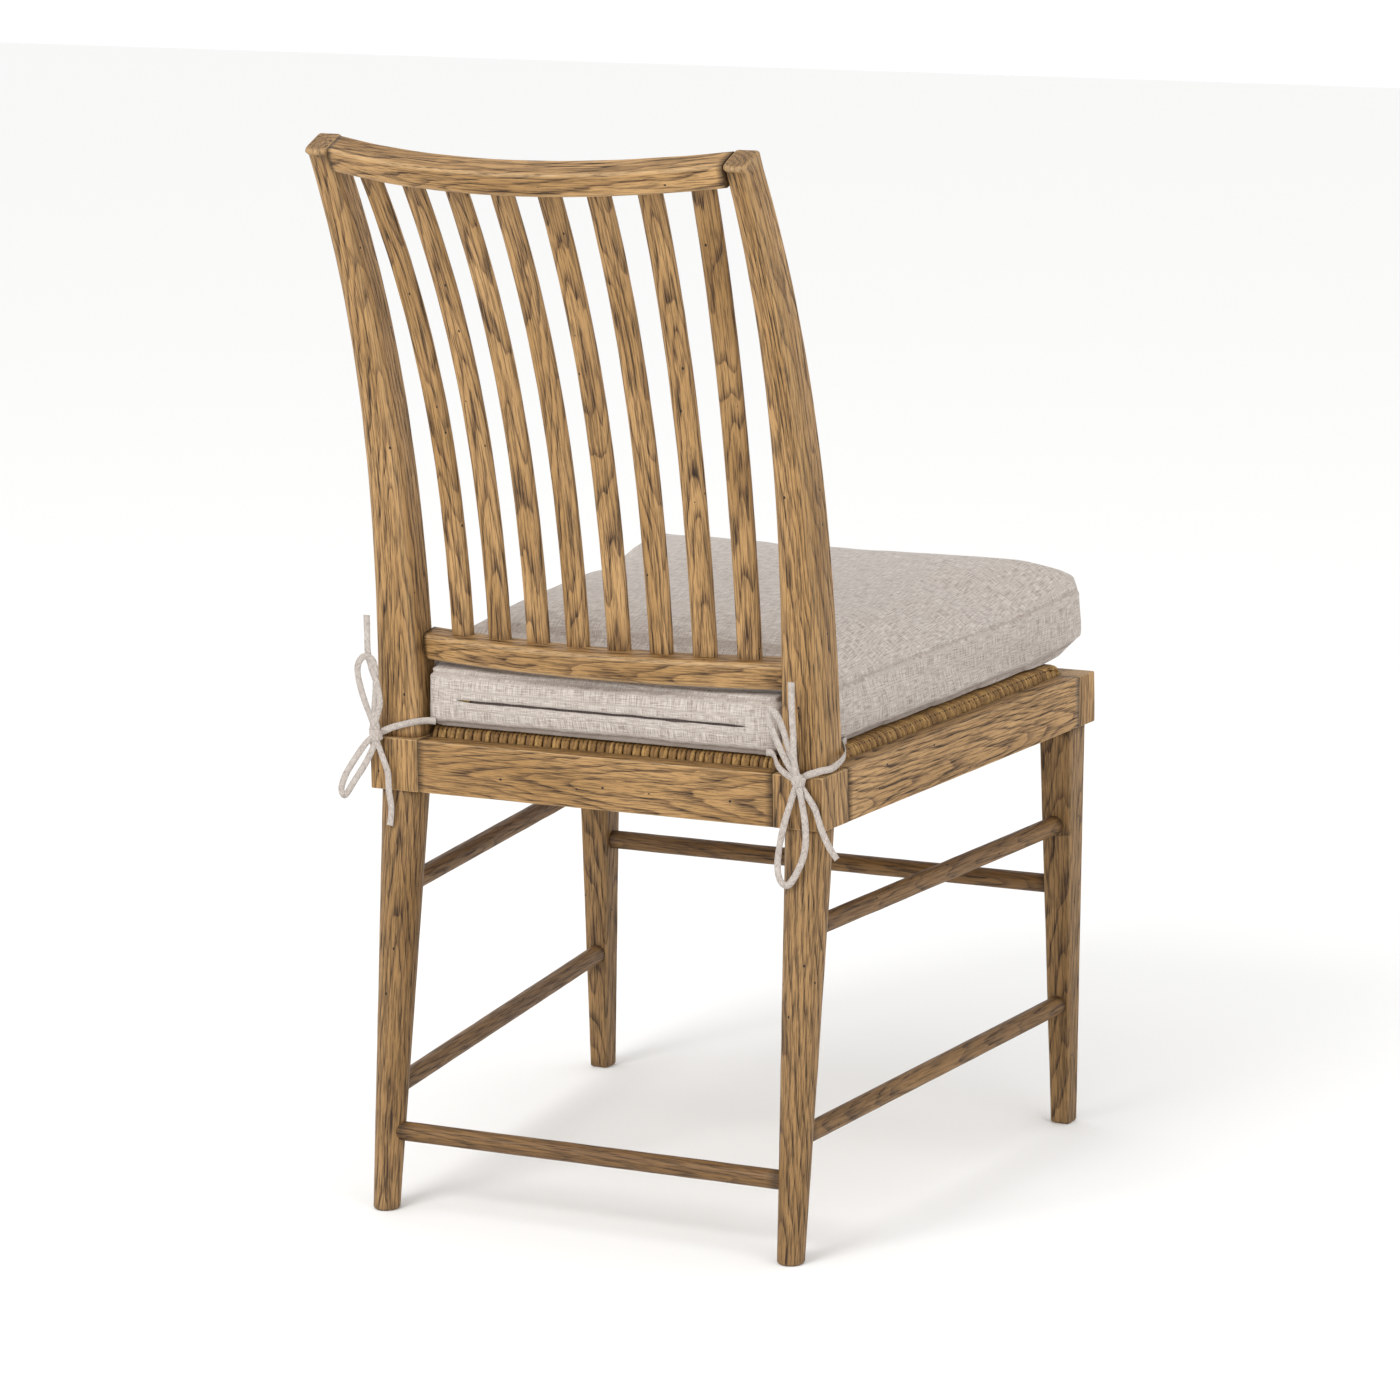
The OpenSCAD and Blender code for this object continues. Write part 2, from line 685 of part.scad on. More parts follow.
// ---- Ribbon ties ----
// Catmull-Rom curve through the points of a route, with n steps a span
function spline_point(p, i, t) =
    let (a = p[max(i - 1, 0)], b = p[i], c = p[i + 1], d = p[min(i + 2, len(p) - 1)])
    b + t * ((c - a) / 2 + t * ((a - 2.5 * b + 2 * c - d / 2) + t * (1.5 * (b - c) + (d - a) / 2)));
function spline(p, n) = concat(
    [for (i = [0:len(p) - 2], k = [0:n - 1]) spline_point(p, i, k / n)], [p[len(p) - 1]]);
function unit(v) = v / norm(v);

// Half of the ribbon's flat section, then its other half
ribbon_section = [
    [-ribbon_w / 2, -0.2], [-ribbon_w / 2 + 0.6, -ribbon_t / 2], [ribbon_w / 2 - 0.6, -ribbon_t / 2],
    [ribbon_w / 2, -0.2], [ribbon_w / 2, 0.2], [ribbon_w / 2 - 0.6, ribbon_t / 2],
    [-ribbon_w / 2 + 0.6, ribbon_t / 2], [-ribbon_w / 2, 0.2]];

// A flat ribbon along a route. Its face looks away from the middle of the post at the
// side of the post, and straight back behind it. It gathers to a third inside its knot
module ribbon(route, side, knot) {
    path = spline(route, 3);
    last = len(path) - 1;
    color(linen) loft([for (i = [0:last])
        let (along = unit(path[min(i + 1, last)] - path[max(i - 1, 0)]),
             turn = max(0, min(1, (path[i].y - back_y + 18) / 16)),
             away = unit([path[i].x - side * post_x, path[i].y - post_y(seat_h), 0]),
             out = unit(away * (1 - turn) + [0, turn, 0]),
             across = unit(cross(along, out)),
             face = cross(across, along),
             gather = 0.3 + 0.7 * min(1, norm(path[i] - knot) / 13))
        [for (p = ribbon_section) path[i] - across * p.x * gather + face * p.y]]);
}

module tie_knot(p) {
    color(linen) translate(p) hull() {
        cube([15, 7, 10], center = true);
        cube([10, 10.4, 13], center = true);
    }
}

rear_post(1);  // rear_post_left
rear_post(-1);  // rear_post_right
crest_rail();
lower_back_rail();
for (i = [1:slat_count]) back_slat(i);
seat_rail_rear();
seat_rail_front();
seat_rail_side(1);  // seat_rail_left
seat_rail_side(-1);  // seat_rail_right
front_leg(1);  // front_leg_left
front_leg(-1);  // front_leg_right
stretcher(rear_a, flip(rear_a));  // stretcher_rear
stretcher(front_a, flip(front_a));  // stretcher_front
stretcher(low_a, low_b);  // stretcher_left_lower
stretcher(flip(low_a), flip(low_b));  // stretcher_right_lower
stretcher(high_a, high_b);  // stretcher_left_upper
stretcher(flip(high_a), flip(high_b));  // stretcher_right_upper
corner_block_rear(1);  // corner_block_rear_left
corner_block_rear(-1);  // corner_block_rear_right
corner_block_front(1);  // corner_block_front_left
corner_block_front(-1);  // corner_block_front_right
corner_block_screws();
seat_screws();
drop_seat_rail([-400, ring_back], [400, 400]);  // drop_seat_rail_rear
drop_seat_rail([-400, -400], [400, ring_front]);  // drop_seat_rail_front
drop_seat_rail([0, ring_front], [400, ring_back]);  // drop_seat_rail_left
drop_seat_rail([-400, ring_front], [0, ring_back]);  // drop_seat_rail_right
rush_weave();
cushion_cover();
cushion_core();
zip_tape();
zip_slider();
ribbon(route_left_inner, 1, knot_left);  // tie_left_inner
ribbon(route_left_outer, 1, knot_left);  // tie_left_outer
ribbon(route_right_inner, -1, knot_right);  // tie_right_inner
ribbon(route_right_outer, -1, knot_right);  // tie_right_outer
tie_knot(knot_left);  // tie_knot_left
tie_knot(knot_right);  // tie_knot_right
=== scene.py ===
import math

import bpy
import numpy as np
from mathutils import Matrix, Vector, noise
from mathutils.bvhtree import BVHTree


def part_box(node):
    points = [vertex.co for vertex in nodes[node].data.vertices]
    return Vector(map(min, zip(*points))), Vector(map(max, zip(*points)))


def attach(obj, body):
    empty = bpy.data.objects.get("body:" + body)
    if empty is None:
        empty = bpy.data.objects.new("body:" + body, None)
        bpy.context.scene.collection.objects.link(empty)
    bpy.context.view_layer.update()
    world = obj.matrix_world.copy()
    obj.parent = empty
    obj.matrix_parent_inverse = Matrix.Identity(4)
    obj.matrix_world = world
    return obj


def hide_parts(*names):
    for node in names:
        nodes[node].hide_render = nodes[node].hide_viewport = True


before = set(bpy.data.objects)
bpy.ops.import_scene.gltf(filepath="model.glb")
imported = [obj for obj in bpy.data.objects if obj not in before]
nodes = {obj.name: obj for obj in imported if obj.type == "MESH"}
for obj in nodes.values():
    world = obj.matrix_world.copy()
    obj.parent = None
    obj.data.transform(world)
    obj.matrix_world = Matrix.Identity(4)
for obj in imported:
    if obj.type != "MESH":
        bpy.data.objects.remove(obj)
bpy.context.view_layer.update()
# the unevenness of hand work comes out the same at every run
noise.seed_set(4)

# ---- Camera and studio ----
# The chair stands on a pale floor in even, soft studio light, seen from behind and a
# little above, over the sitter's right shoulder. One large light comes from the upper
# left, a weaker one fills the right.
view_turn, view_rise, view_roll = math.radians(27.46), math.radians(11.956), math.radians(-1.192)
away = Vector((-math.sin(view_turn) * math.cos(view_rise),
               math.cos(view_turn) * math.cos(view_rise), math.sin(view_rise)))
level = Vector((-math.cos(view_turn), -math.sin(view_turn), 0))
upright = level.cross(-away)
right = level * math.cos(view_roll) + upright * math.sin(view_roll)
up = upright * math.cos(view_roll) - level * math.sin(view_roll)
aim = Vector((0, -0.005, 0.46933))
stand = aim + away * 5.3775
lens = bpy.data.cameras.new("camera")
lens.sensor_width = 36
lens.lens = 148
lens.shift_x, lens.shift_y = -0.00128, -0.01554
lens.clip_end = 60
camera = bpy.data.objects.new("camera", lens)
camera.matrix_world = Matrix((
    (right.x, up.x, away.x, stand.x), (right.y, up.y, away.y, stand.y),
    (right.z, up.z, away.z, stand.z), (0, 0, 0, 1)))
bpy.context.scene.collection.objects.link(camera)
bpy.context.scene.camera = camera
bpy.context.scene.view_settings.view_transform = "Standard"


def linear(code):
    """An sRGB hex colour as the linear colour that the shaders take."""
    parts = [int(code[i:i + 2], 16) / 255 for i in (1, 3, 5)]
    return [p / 12.92 if p <= 0.04045 else ((p + 0.055) / 1.055) ** 2.4 for p in parts] + [1]


def add(tree, kind, inputs=(), **settings):
    """One shader node with its settings; inputs are values, or sockets to link from."""
    made = tree.nodes.new("ShaderNode" + kind)
    for key, value in settings.items():
        setattr(made, key, value)
    for key, value in dict(inputs).items():
        if isinstance(value, bpy.types.NodeSocket):
            tree.links.new(value, made.inputs[key])
        else:
            made.inputs[key].default_value = value
    return made


def material(name):
    """A named material with an empty node tree and its surface shader."""
    made = bpy.data.materials.new(name)
    made.use_nodes = True
    made.node_tree.nodes.clear()
    shader = add(made.node_tree, "BsdfPrincipled")
    out = add(made.node_tree, "OutputMaterial", {"Surface": shader.outputs["BSDF"]})
    return made, made.node_tree, shader


def ramp(tree, factor, *stops):
    """A colour ramp over (place, hex colour) stops."""
    made = add(tree, "ValToRGB", {"Fac": factor})
    steps = made.color_ramp.elements
    while len(steps) < len(stops):
        steps.new(0.5)
    for step, (place, code) in zip(steps, stops):
        step.position, step.color = place, linear(code)
    return made.outputs["Color"]


world = bpy.data.worlds.new("studio")
world.use_nodes = True
world.node_tree.nodes["Background"].inputs["Color"].default_value = (1, 1, 1, 1)
world.node_tree.nodes["Background"].inputs["Strength"].default_value = 0.8
bpy.context.scene.world = world
bpy.context.scene.view_settings.exposure = 0.36
for name, place, size, watts in (("key", (0.9, 3.2, 2.9), 1.8, 62), ("fill", (-3.2, 1.2, 1.6), 2.2, 14)):
    lamp = bpy.data.lights.new(name, "AREA")
    lamp.size, lamp.energy = size, watts
    holder = bpy.data.objects.new(name, lamp)
    holder.location = place
    holder.rotation_euler = (Vector((0, 0, 0.5)) - Vector(place)).to_track_quat("-Z", "Y").to_euler()
    bpy.context.scene.collection.objects.link(holder)

floor_mesh = bpy.data.meshes.new("floor")
floor_mesh.from_pydata([(-9, -9, 0), (9, -9, 0), (9, 9, 0), (-9, 9, 0)], [], [(0, 1, 2, 3)])
floor = bpy.data.objects.new("floor", floor_mesh)
bpy.context.scene.collection.objects.link(floor)
painted, tree, shader = material("studio_floor_matte_paint")
shader.inputs["Base Color"].default_value = linear("#f4f4f3")
shader.inputs["Roughness"].default_value = 0.9
floor_mesh.materials.append(painted)

# ---- Rear posts ----
# Each rear post is one length of oak: a round tapering leg that rakes back, a square
# block that takes the seat rails, and an upper post that is sawn to a curve, rounded
# at the back and cut off at a slope on top. The joints are glued and glazed dark.


def rounded(a, b, r_low, r_high, flat=3, arc=4):
    """Points round a section of half sizes a and b, anticlockwise, with how pale each is painted, as rubbed
    wear and a painted highlight: 1 on the middle of an arris, 0 on a flat."""
    out = []
    corners = ((1, -1, -90, r_low), (1, 1, 0, r_high), (-1, 1, 90, r_high), (-1, -1, 180, r_low))
    for i, (sx, sy, start, r) in enumerate(corners):
        for k in range(arc + 1):
            t = math.radians(start + 90 * k / arc)
            out.append((sx * (a - r) + r * math.cos(t), sy * (b - r) + r * math.sin(t),
                        math.sin(math.pi * k / arc) * min(1, 5 / r)))
        nx, ny, after, nr = corners[(i + 1) % 4]
        end = (nx * (a - nr) + nr * math.cos(math.radians(after)),
               ny * (b - nr) + nr * math.sin(math.radians(after)))
        here = out[-1]
        for k in range(1, flat):
            f = k / flat
            out.append((here[0] + (end[0] - here[0]) * f, here[1] + (end[1] - here[1]) * f, 0))
    return out


def ring_faces(n, m, base=0, closed=True, inward=False):
    """Faces over m rings of n points each, whose first point has the number base."""
    faces = [(i * n + j, i * n + (j + 1) % n, (i + 1) * n + (j + 1) % n, (i + 1) * n + j)
             for i in range(m - 1) for j in range(n)]
    if closed:
        faces += [tuple(range(n - 1, -1, -1)), tuple((m - 1) * n + j for j in range(n))]
    return [tuple(base + k for k in (face[::-1] if inward else face)) for face in faces]


def shell(rings, grain, worn_and_highlight, glaze_and_shade):
    """A closed skin over rings of points in mm, with its grain place, its pale arris mark (rubbed wear and
    painted highlight) and its dark mark (joint glaze and painted shade).
    """
    faces = ring_faces(len(rings[0]), len(rings))
    flat = lambda rows: [p for row in rows for p in row]
    return flat(rings), faces, flat(grain), flat(worn_and_highlight), flat(glaze_and_shade)


def seat_piece(name, mesh, slot, *replaced):
    """Puts a finished mesh on the chair, standing for the parts it replaces."""
    made = bpy.data.objects.new(name, mesh)
    bpy.context.scene.collection.objects.link(made)
    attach(made, "chair")
    if replaced:
        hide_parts(*replaced)
    return made


def note(mesh, name, kind, values):
    """Writes a value for each vertex into the mesh, for its material to read."""
    field = "vector" if kind == "FLOAT_VECTOR" else "value"
    mesh.attributes.new(name, kind, "POINT").data.foreach_set(field, np.array(values, np.float32).ravel())


def mesh_of(name, verts, faces, smooth=True):
    """A mesh from points in mm."""
    mesh = bpy.data.meshes.new(name)
    mesh.from_pydata([Vector(v) / 1000 for v in verts], [], faces)
    for face in mesh.polygons:
        face.use_smooth = smooth
    return mesh


def piece(name, shells, finish, *replaced, slot="oak_frame", flip=False):
    """Joins skins into one wooden piece, adds its grain to the mesh and seats it."""
    verts, faces, grain, worn_and_highlight, glaze_and_shade = [], [], [], [], []
    for v, f, g, w, d in shells:
        faces += [tuple(len(verts) + i for i in face) for face in f]
        verts, grain, worn_and_highlight, glaze_and_shade = verts + list(v), grain + list(g), worn_and_highlight + list(w), glaze_and_shade + list(d)
    # a hand-rubbed surface is never quite true: it wanders by a quarter of a millimetre
    verts = [Vector(v) + 0.22 * noise.noise_vector(Vector(v) * 0.035) for v in verts]
    if flip:
        verts = [Vector((-v.x, v.y, v.z)) for v in verts]
        faces = [face[::-1] for face in faces]
        grain = [(gx + 7, gy - 5, gz + 213) for gx, gy, gz in grain]
    mesh = mesh_of(name, verts, faces)
    for face in mesh.polygons:
        face.use_smooth = len(face.vertices) == 4
    note(mesh, "grain", "FLOAT_VECTOR", grain)
    note(mesh, "worn_and_highlight", "FLOAT", worn_and_highlight)
    note(mesh, "glaze_and_shade", "FLOAT", glaze_and_shade)
    mesh.materials.append(finish)
    return seat_piece(name, mesh, slot, *replaced)


def stretched(tree, vector, x, y, z):
    """A place, drawn out or pressed together along each axis."""
    return add(tree, "VectorMath", {0: vector, 1: (x, y, z)}, operation="MULTIPLY").outputs[0]


def cloudy(tree, vector, scale=1.0, detail=2.0, roughness=0.5, distortion=0.0):
    """Random soft tones round a half."""
    return add(tree, "TexNoise", {"Vector": vector, "Scale": scale, "Detail": detail, "Roughness": roughness,
                                  "Distortion": distortion}).outputs["Fac"]


def between(tree, value, low, high, to_low=0.0, to_high=1.0):
    """A value between low and high, moved to between to_low and to_high."""
    return add(tree, "MapRange", {"Value": value, "From Min": low, "From Max": high,
                                  "To Min": to_low, "To Max": to_high}).outputs[0]


def blend(tree, factor, colour, code):
    """A colour, covered with another by factor."""
    return add(tree, "Mix", {"Factor": factor, "A": colour, "B": linear(code)},
               data_type="RGBA").outputs["Result"]


def worked(tree, operation, *values):
    return add(tree, "Math", dict(enumerate(values)), operation=operation).outputs[0]


def dress(tree, shader, colour, height, strength, distance, roughness=None):
    """Gives a surface its colour, its small relief and how dull it is."""
    bump = add(tree, "Bump", {"Height": height, "Strength": strength, "Distance": distance})
    tree.links.new(colour, shader.inputs["Base Color"])
    tree.links.new(bump.outputs["Normal"], shader.inputs["Normal"])
    if roughness is not None:
        shader.inputs["Roughness"].default_value = roughness


def antiqued_oak(name, light, middle, dark, glaze, ring_mm=5.5, pore_mm=1.3):
    """Oak, wire-brushed and antiqued: open pores and soft early wood hold a dark glaze, arrises are painted
    paler as rubbed wear and as a painted highlight, a dark mix stands for glaze in the joints and for painted
    shade, and the dull wax gives only a broad shine."""
    made, tree, shader = material(name)
    grain = add(tree, "Attribute", attribute_name="grain").outputs["Vector"]
    worn_and_highlight = add(tree, "Attribute", attribute_name="worn_and_highlight").outputs["Fac"]
    glaze_and_shade = add(tree, "Attribute", attribute_name="glaze_and_shade").outputs["Fac"]
    # growth rings: distance from the heart of the tree, drawn out into tall arches
    wander = cloudy(tree, stretched(tree, grain, 0.03, 0.03, 0.006), detail=3.0, roughness=0.55)
    apart = add(tree, "SeparateXYZ", {0: grain}).outputs
    flat = add(tree, "CombineXYZ", {"X": apart["X"], "Y": apart["Y"]}).outputs[0]
    radius = add(tree, "VectorMath", {0: flat}, operation="LENGTH").outputs["Value"]
    cone = worked(tree, "MULTIPLY_ADD", apart["Z"], 0.085, radius)
    bent = worked(tree, "MULTIPLY_ADD", wander, 26.0, cone)
    ring = worked(tree, "FRACT", worked(tree, "DIVIDE", bent, ring_mm))
    # pores: dark broken lines along the grain, drawn no finer than they can show
    streak = cloudy(tree, stretched(tree, grain, 1 / pore_mm, 1 / pore_mm, 0.03),
                    detail=3.0, roughness=0.62, distortion=0.25)
    pore = between(tree, streak, 0.52, 0.42)
    fine = cloudy(tree, stretched(tree, grain, 1.1, 1.1, 0.12))
    patch = cloudy(tree, stretched(tree, grain, 0.02, 0.02, 0.005))
    early = ramp(tree, ring, (0.0, "#ffffff"), (0.10, "#e0e0e0"), (0.34, "#707070"),
                 (0.60, "#202020"), (0.93, "#383838"), (1.0, "#ffffff"))
    tone = ramp(tree, between(tree, patch, 0.3, 0.7), (0.0, middle), (1.0, light))
    wood = blend(tree, worked(tree, "MULTIPLY", early, 0.72), tone, dark)
    # the dark share of a pore is greater in the early wood of a ring
    filled = worked(tree, "MULTIPLY", pore, worked(tree, "MULTIPLY_ADD", early, 0.45, 0.55))
    wood = blend(tree, filled, wood, glaze)
    wood = blend(tree, between(tree, fine, 0.35, 0.65, 0.0, 0.22), wood, dark)
    # paler arrises: rubbed wear and a painted highlight; darker: glaze in the joints, and painted shade in
    # corners, in the rebates and on the legs
    rub_and_highlight = worked(tree, "MULTIPLY", worn_and_highlight, between(tree, fine, 0.35, 0.6, 0.1, 0.5))
    wood = blend(tree, glaze_and_shade, blend(tree, rub_and_highlight, wood, "#cfae82"), "#2b1d10")
    # worm holes: a pin-sized dark pit here and there
    cells = add(tree, "TexVoronoi", {"Vector": stretched(tree, grain, 0.055, 0.055, 0.04),
                                     "Scale": 1.0, "Randomness": 1.0}).outputs["Distance"]
    hole = worked(tree, "LESS_THAN", cells, 0.058)
    height = worked(tree, "MULTIPLY_ADD", filled, -1.0, worked(tree, "MULTIPLY", hole, -1.5))
    dress(tree, shader, blend(tree, hole, wood, "#1d130a"), height, 0.45, 0.0006)
    tree.links.new(between(tree, filled, 0.0, 1.0, 0.5, 0.75), shader.inputs["Roughness"])
    shader.inputs["IOR"].default_value = 1.5
    shader.inputs["Specular IOR Level"].default_value = 0.35
    return made


oak = antiqued_oak("antiqued_oak_dull_wax", "#bd9562", "#95703e", "#54371b", "#1f1207")

seat_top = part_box("seat_rail_rear")[1].z * 1000
seat_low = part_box("seat_rail_rear")[0].z * 1000
seat_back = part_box("seat_rail_rear")[1].y * 1000
block_in = 182
block_front = seat_back - 45
post_top = 1000


def side_x(y):
    """The outer face of the seat frame, which widens towards the front."""
    return 232 + 40 * (seat_back - y) / 512


def climb(z):
    return max(0, (z - seat_top) / (post_top - seat_top))


def post_y(z):
    return block_front + 19 + 115 * climb(z) ** 2.6


def post_wide(z):
    return 46 - 22 * climb(z)


def post_deep(z):
    return 38 - 7 * climb(z)


def post_inner(z):
    return 207.5 - post_wide(z) / 2


def near(distance, reach):
    """A darkening that fades out over reach from distance 0: glaze at a joint, painted shade elsewhere; the
    cushion also uses it as a weight.
    """
    return max(0, 1 - abs(distance) / reach) ** 1.6


leg_rings, leg_grain, leg_worn_and_highlight, leg_painted_shade = [], [], [], []
leg_heights = [0, 0.8, 2.2] + list(np.linspace(4, seat_low + 3, 46))
for z in leg_heights:
    f = z / seat_low
    radius = 12.5 + (22 - 12.5) * f - (2.2 if z == 0 else 0.8 if z < 1 else 0)
    cx, cy = 209.5 - 2 * f, seat_back - 22.5 + 57 * (1 - f)
    turn = [2 * math.pi * k / 36 for k in range(36)]
    leg_rings.append([(cx + radius * math.cos(t), cy + radius * math.sin(t), z) for t in turn])
    leg_grain.append([(radius * math.cos(t) + 9, radius * math.sin(t) - 26, z) for t in turn])
    leg_worn_and_highlight.append([0.25 if z < 3 else 0] * 36)
    # painted shade: the leg is darkened all over, more under the block and towards the floor
    leg_painted_shade.append([0.22 + 0.5 * near(z - seat_low, 7) + 0.25 * near(z, 16)] * 36)


def prism(outline, z0, z1, ease, grain_at, dark=0.0):
    """An upright block over an anticlockwise outline, with its arrises eased."""
    pts = []
    count = len(outline)
    for i in range(count):
        p, a, b = (Vector(outline[j % count]) for j in (i, i - 1, i + 1))
        ia, ib = (a - p).normalized(), (b - p).normalized()
        for k in range(4):
            t = k / 3
            q = (p + ia * ease) * (1 - t) ** 2 + p * 2 * t * (1 - t) + (p + ib * ease) * t * t
            pts.append((q, math.sin(math.pi * t)))
        run = (b - p).length
        for k in range(1, max(2, int(run / 9))):
            pts.append((p + ib * (ease + (run - 2 * ease) * k / max(2, int(run / 9))), 0))
    middle = sum((q for q, w in pts), Vector((0, 0))) / len(pts)
    rings, grain, worn_and_highlight, glaze_and_shade = [], [], [], []
    levels = [(z0, ease * 0.7, 1), (z0 + ease * 0.3, ease * 0.2, 1), (z0 + ease, 0, 0)]
    steps = max(2, int((z1 - z0) / 6))
    levels += [(z0 + ease + (z1 - z0 - 2 * ease) * k / steps, 0, 0) for k in range(1, steps)]
    levels += [(z1 - ease, 0, 0), (z1 - ease * 0.3, ease * 0.2, 1), (z1, ease * 0.7, 1)]
    for z, inset, rubbed_and_highlight in levels:
        ring = [q + (middle - q).normalized() * inset for q, w in pts]
        rings.append([(q.x, q.y, z) for q in ring])
        grain.append([grain_at(q.x, q.y, z) for q in ring])
        # the eased arrises at the ends are painted pale too: rubbed wear and a painted highlight
        worn_and_highlight.append([max(w, rubbed_and_highlight) for q, w in pts])
        glaze_and_shade.append([dark] * len(pts))
    return shell(rings, grain, worn_and_highlight, glaze_and_shade)


def upright_grain(cx, cy):
    return lambda x, y, z: (x - cx, y - cy, z)


block_outline = [(block_in, block_front), (side_x(block_front), block_front),
                 (side_x(seat_back), seat_back), (block_in, seat_back)]
block = prism(block_outline, seat_low, seat_top, 1.2, upright_grain(198.5, seat_back + 3.5))
# glaze lies in the seams where the rails butt against the block
block = (*block[:4], [0.55 * (near(x - block_in, 2.2) + near(x - side_x(y), 1.2) * near(y - block_front, 3))
                      for x, y, z in block[0]])

post_rings, post_grain, post_worn_and_highlight, post_glaze_and_shade = [], [], [], []
run = 0.0
heights = list(np.linspace(seat_top - 2, post_top - 12, 72))
for k, z in enumerate(heights):
    c = climb(z)
    if k:
        run += math.hypot(z - heights[k - 1], post_y(z) - post_y(heights[k - 1]))
    section = rounded(post_wide(z) / 2, post_deep(z) / 2, 2.5, 11 - 3 * c)
    post_rings.append([(207.5 + x, post_y(z) + y, z) for x, y, w in section])
    post_grain.append([(x + 9, y - 22 + 14 * c, seat_top + run) for x, y, w in section])
    post_worn_and_highlight.append([0.8 * w for x, y, w in section])
    # painted shade in the corner where the post rises from the block; glaze in the joints with the lower rail
    # and the top rail
    post_glaze_and_shade.append([0.75 * near(z - seat_top, 5)
                       + (0.6 * near(z - 524, 15) if x < 0 and abs(y) < 14 else 0)
                       + (0.5 * near(z - 988, 15) if x < 0 else 0) for x, y, w in section])
top_y, tilt = post_y(post_top), math.tan(math.radians(22))
for inset, drop in ((0, 3.4), (0.4, 1.6), (1.3, 0.5), (3.0, 0)):
    section = rounded(post_wide(post_top) / 2 - inset, post_deep(post_top) / 2 - inset, 2.5, 8 - inset / 2)
    post_rings.append([(207.5 + x, top_y + y, post_top - tilt * y - drop) for x, y, w in section])
    post_grain.append([(x + 9, y - 8, seat_top + run + 12 - drop) for x, y, w in section])
    post_worn_and_highlight.append([0.9 if inset < 2 else 0.1 for x, y, w in section])
    post_glaze_and_shade.append([0.15 if inset < 2 else 0.3 for x, y, w in section])
for side in ("left", "right"):
    piece("rear_post_" + side + "_look", [
        shell(leg_rings, leg_grain, leg_worn_and_highlight, leg_painted_shade), block,
        shell(post_rings, post_grain, post_worn_and_highlight, post_glaze_and_shade)],
        oak, "rear_post_" + side, flip=side == "right")

# ---- Top rail and lower back rail ----
# Both rails are sawn from thick oak to a curve that hollows the back, and are tenoned
# between the posts. The top rail leans back flush with the posts' slope and sags to
# the middle; its arrises are rounded by hand.


def curved_rail(half, y, z, bow, dip, thick, tall, lean, r_low, r_high, offset):
    """A rail whose ends butt on the sloping inner faces of the posts."""
    lean = math.radians(lean)
    rings, grain, worn_and_highlight, glaze_and_shade = [], [], [], []
    count = 70
    for k in range(count + 1):
        s = -1 + 2 * k / count
        bulge = 1 - s * s
        row, g, w, d = [], [], [], []
        for px, py, rub_and_highlight in rounded(thick / 2, tall / 2, r_low, r_high, flat=4):
            here_y = y + bow * bulge + px * math.cos(lean) + py * math.sin(lean)
            here_z = z - dip * bulge - px * math.sin(lean) + py * math.cos(lean)
            x = s * (post_inner(here_z) if abs(s) == 1 else half)
            row.append((x, here_y, here_z))
            g.append((px + offset[0] + 4 * bulge, py + offset[1], s * half + offset[2]))
            w.append(rub_and_highlight)
            d.append(0.8 * near((1 - abs(s)) * half, 5))
        rings.append(row)
        grain.append(g)
        worn_and_highlight.append(w)
        glaze_and_shade.append(d)
    return shell([r[::-1] for r in rings], [r[::-1] for r in grain],
                 [r[::-1] for r in worn_and_highlight], [r[::-1] for r in glaze_and_shade])


crest_z = post_top - 12 * math.cos(math.radians(22))
crest_y = post_y(post_top) - 12 * math.sin(math.radians(22))
lower_z = seat_top + 84
lower_y = post_y(lower_z) - 13
piece("crest_rail_look", [curved_rail(post_inner(crest_z), crest_y, crest_z, 38, 10, 28, 24, 22,
                                      5, 4, (-30, 12, 40))], oak, "crest_rail")
piece("lower_back_rail_look", [curved_rail(post_inner(lower_z), lower_y, lower_z, 25, 0, 27, 25, 8,
                                           5, 5, (-34, 8, 320))], oak, "lower_back_rail")

# ---- Slats ----
# Eight oak slats are bent to the curve of the posts, rounded like a flattened stick,
# and let into the two back rails, fanning out towards the top.


def share(z):
    return (z - lower_z) / (crest_z - lower_z)


def slat_line(i, z):
    """Centre of slat i at height z, and how far it is turned to face the curve."""
    s = share(z)
    x = (i - 4.5) * (42 + 6 * max(0, s) ** 2.4)
    half = post_inner(lower_z) + (post_inner(crest_z) - post_inner(lower_z)) * s
    bow = 18 + 12 * s
    y = post_y(z) - 13 + 9 * s + bow * (1 - (x / half) ** 2)
    return x, y, math.atan(-2 * bow * x / half ** 2)


slat_offsets = ((3, 13), (5, -12), (-26, 20), (2, 15), (20, 24), (-4, 12), (3, -14), (-6, 12))
for i, (ox, oy) in enumerate(slat_offsets, 1):
    low = lower_z - 4
    high = crest_z - 10 * (1 - (slat_line(i, crest_z)[0] / post_inner(crest_z)) ** 2)
    rings, grain, worn_and_highlight, glaze_and_shade = [], [], [], []
    for z in np.linspace(low, high, 64):
        x, y, turn = slat_line(i, z)
        section = rounded(11.5, 5.5, 5.2, 5.2, flat=4, arc=5)
        rings.append([(x + px * math.cos(turn) - py * math.sin(turn),
                       y + px * math.sin(turn) + py * math.cos(turn), z) for px, py, w in section])
        grain.append([(px + ox, py + oy, z + 137 * i) for px, py, w in section])
        worn_and_highlight.append([0.25 * w for px, py, w in section])
        glaze_and_shade.append([min(0.9, 0.95 * near(z - lower_z - 13.5, 5) + 0.85 * near(z - high + 9, 7))
                      for px, py, w in section])
    piece("back_slat_%d_look" % i, [shell(rings, grain, worn_and_highlight, glaze_and_shade)], oak, "back_slat_%d" % i)

# ---- Seat rails ----
# Four oak rails with a rebate along the inner top edge for the drop-in seat. They are
# tenoned into the rear blocks and the front legs, flush outside.


